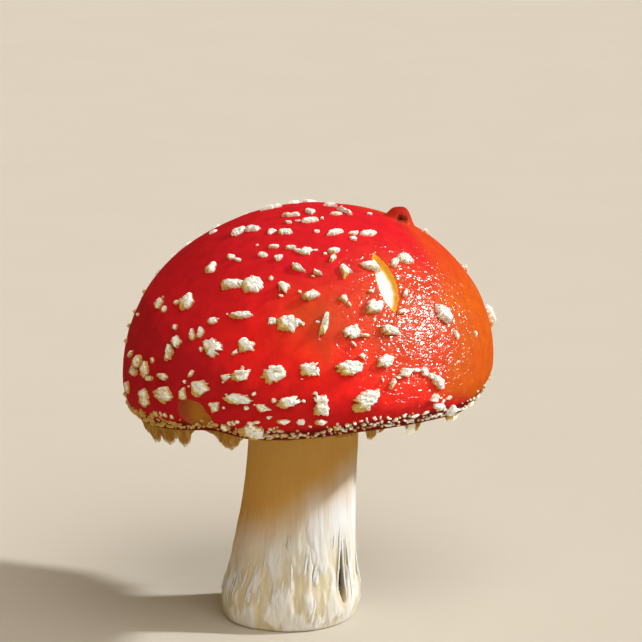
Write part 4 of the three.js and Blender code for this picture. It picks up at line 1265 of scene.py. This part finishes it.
# Lights: name, where from, strength, degrees across and colour
LIGHTS = [
    ("sun", (0.83, 0.02, 0.58), 3.1, 4, (0.98, 0.99, 1.0)),
    ("sky", (0.25, -0.50, 0.83), 1.6, 50, (1.0, 0.98, 0.94)),
    ("front", (0.30, -0.94, 0.05), 0.45, 60, (1.0, 0.95, 0.88)),
    ("glow", (-0.75, -0.62, 0.12), 0.30, 60, (1.0, 0.62, 0.22)),
]
# A light from the sun's side that is seen only as a reflection in the wet skin
GLOSS = ("gloss", (0.82, -0.05, 0.46), 22, 6, (1.0, 0.98, 0.95))
WORLD_COLOUR = (1.0, 0.78, 0.48)
WORLD_STRENGTH = 0.18
FLOOR_REACH = 6
FLOOR_TONES = ((0.63, 0.58, 0.50), (0.60, 0.55, 0.47))


def point_at(thing, target):
    thing.rotation_euler = (target - thing.location).to_track_quat("-Z", "Y").to_euler()


def add_camera():
    angle = math.radians(VIEW_ELEVATION)
    upward = Vector((0, math.sin(angle), math.cos(angle)))
    back = Vector((0, -math.cos(angle), math.sin(angle)))
    centre = Vector((CAP_CENTRE_X, 0, WIDEST_LEVEL))
    target = (centre + Vector((AIM_OFFSET[0], 0, 0)) + upward * AIM_OFFSET[1]) * MM
    data = bpy.data.cameras.new("camera")
    data.lens = LENS
    data.sensor_width = SENSOR
    data.clip_start = 0.01
    camera = add_object("camera", data)
    camera.location = target + back * VIEW_DISTANCE
    point_at(camera, target)
    bpy.context.scene.camera = camera


def add_sun(name, direction, strength, spread, colour):
    """Light from a direction, from a source that is so many degrees across."""
    data = bpy.data.lights.new(name, "SUN")
    data.energy = strength
    data.angle = math.radians(spread)
    data.color = colour
    lamp = add_object(name, data)
    lamp.location = direction
    point_at(lamp, Vector((0, 0, 0)))
    return lamp


def add_floor():
    mesh = bpy.data.meshes.new("floor")
    signs = ((-1, -1), (1, -1), (1, 1), (-1, 1))
    mesh.from_pydata([(FLOOR_REACH * x, FLOOR_REACH * y, 0) for x, y in signs], [], [range(4)])
    g = Graph("floor", Roughness=0.95)
    tone = g.paint(FLOOR_TONES[0], (g.noise(60, 3), FLOOR_TONES[1]))
    mesh.materials.append(g.finish(Base_Color=tone))
    add_object("floor", mesh)


def add_lights():
    for light in LIGHTS:
        add_sun(*light)
    add_sun(*GLOSS).visible_diffuse = False
    world = bpy.data.worlds.new("studio")
    world.use_nodes = True
    background = world.node_tree.nodes["Background"]
    background.inputs["Color"].default_value = (*WORLD_COLOUR, 1)
    background.inputs["Strength"].default_value = WORLD_STRENGTH
    bpy.context.scene.world = world
    bpy.context.scene.view_settings.view_transform = "Standard"


def add_mushroom():
    draw = lehmer(SEED)
    warts = NEAR_WARTS + SPECKS + far_warts(draw)
    flaps = far_flaps(draw)
    upper = [place for place in warts if place[1] < UPPER_WARTS]
    lower = [place for place in warts if place[1] >= UPPER_WARTS]
    veil, stem = wart_material(), stem_material()
    add_piece("cap_skin", cap_shape(), cap_material(), "cap")
    crown, flank = warts_shape(upper, CROWN_SEED), warts_shape(lower, FLANK_SEED)
    add_piece("crown_warts", crown, veil, "cap", smooth=False)
    add_piece("flank_warts", flank, veil, "cap", smooth=False)
    add_piece("margin_crumbs", margin_crumbs_shape(), veil, "cap", smooth=False)
    add_piece("veil_fringe", fringe_shape(flaps), fringe_material(), "cap")
    add_piece("gill_blades", gills_shape(), gill_material(), "gills")
    add_piece("ring_skirt", ring_shape(), ring_material(), "ring")
    add_piece("stem_body", stem_shape(), stem, "stem")
    add_piece("stem_flakes", stem_flakes_shape(), stem, "stem")


add_camera()
add_floor()
add_lights()
add_mushroom()
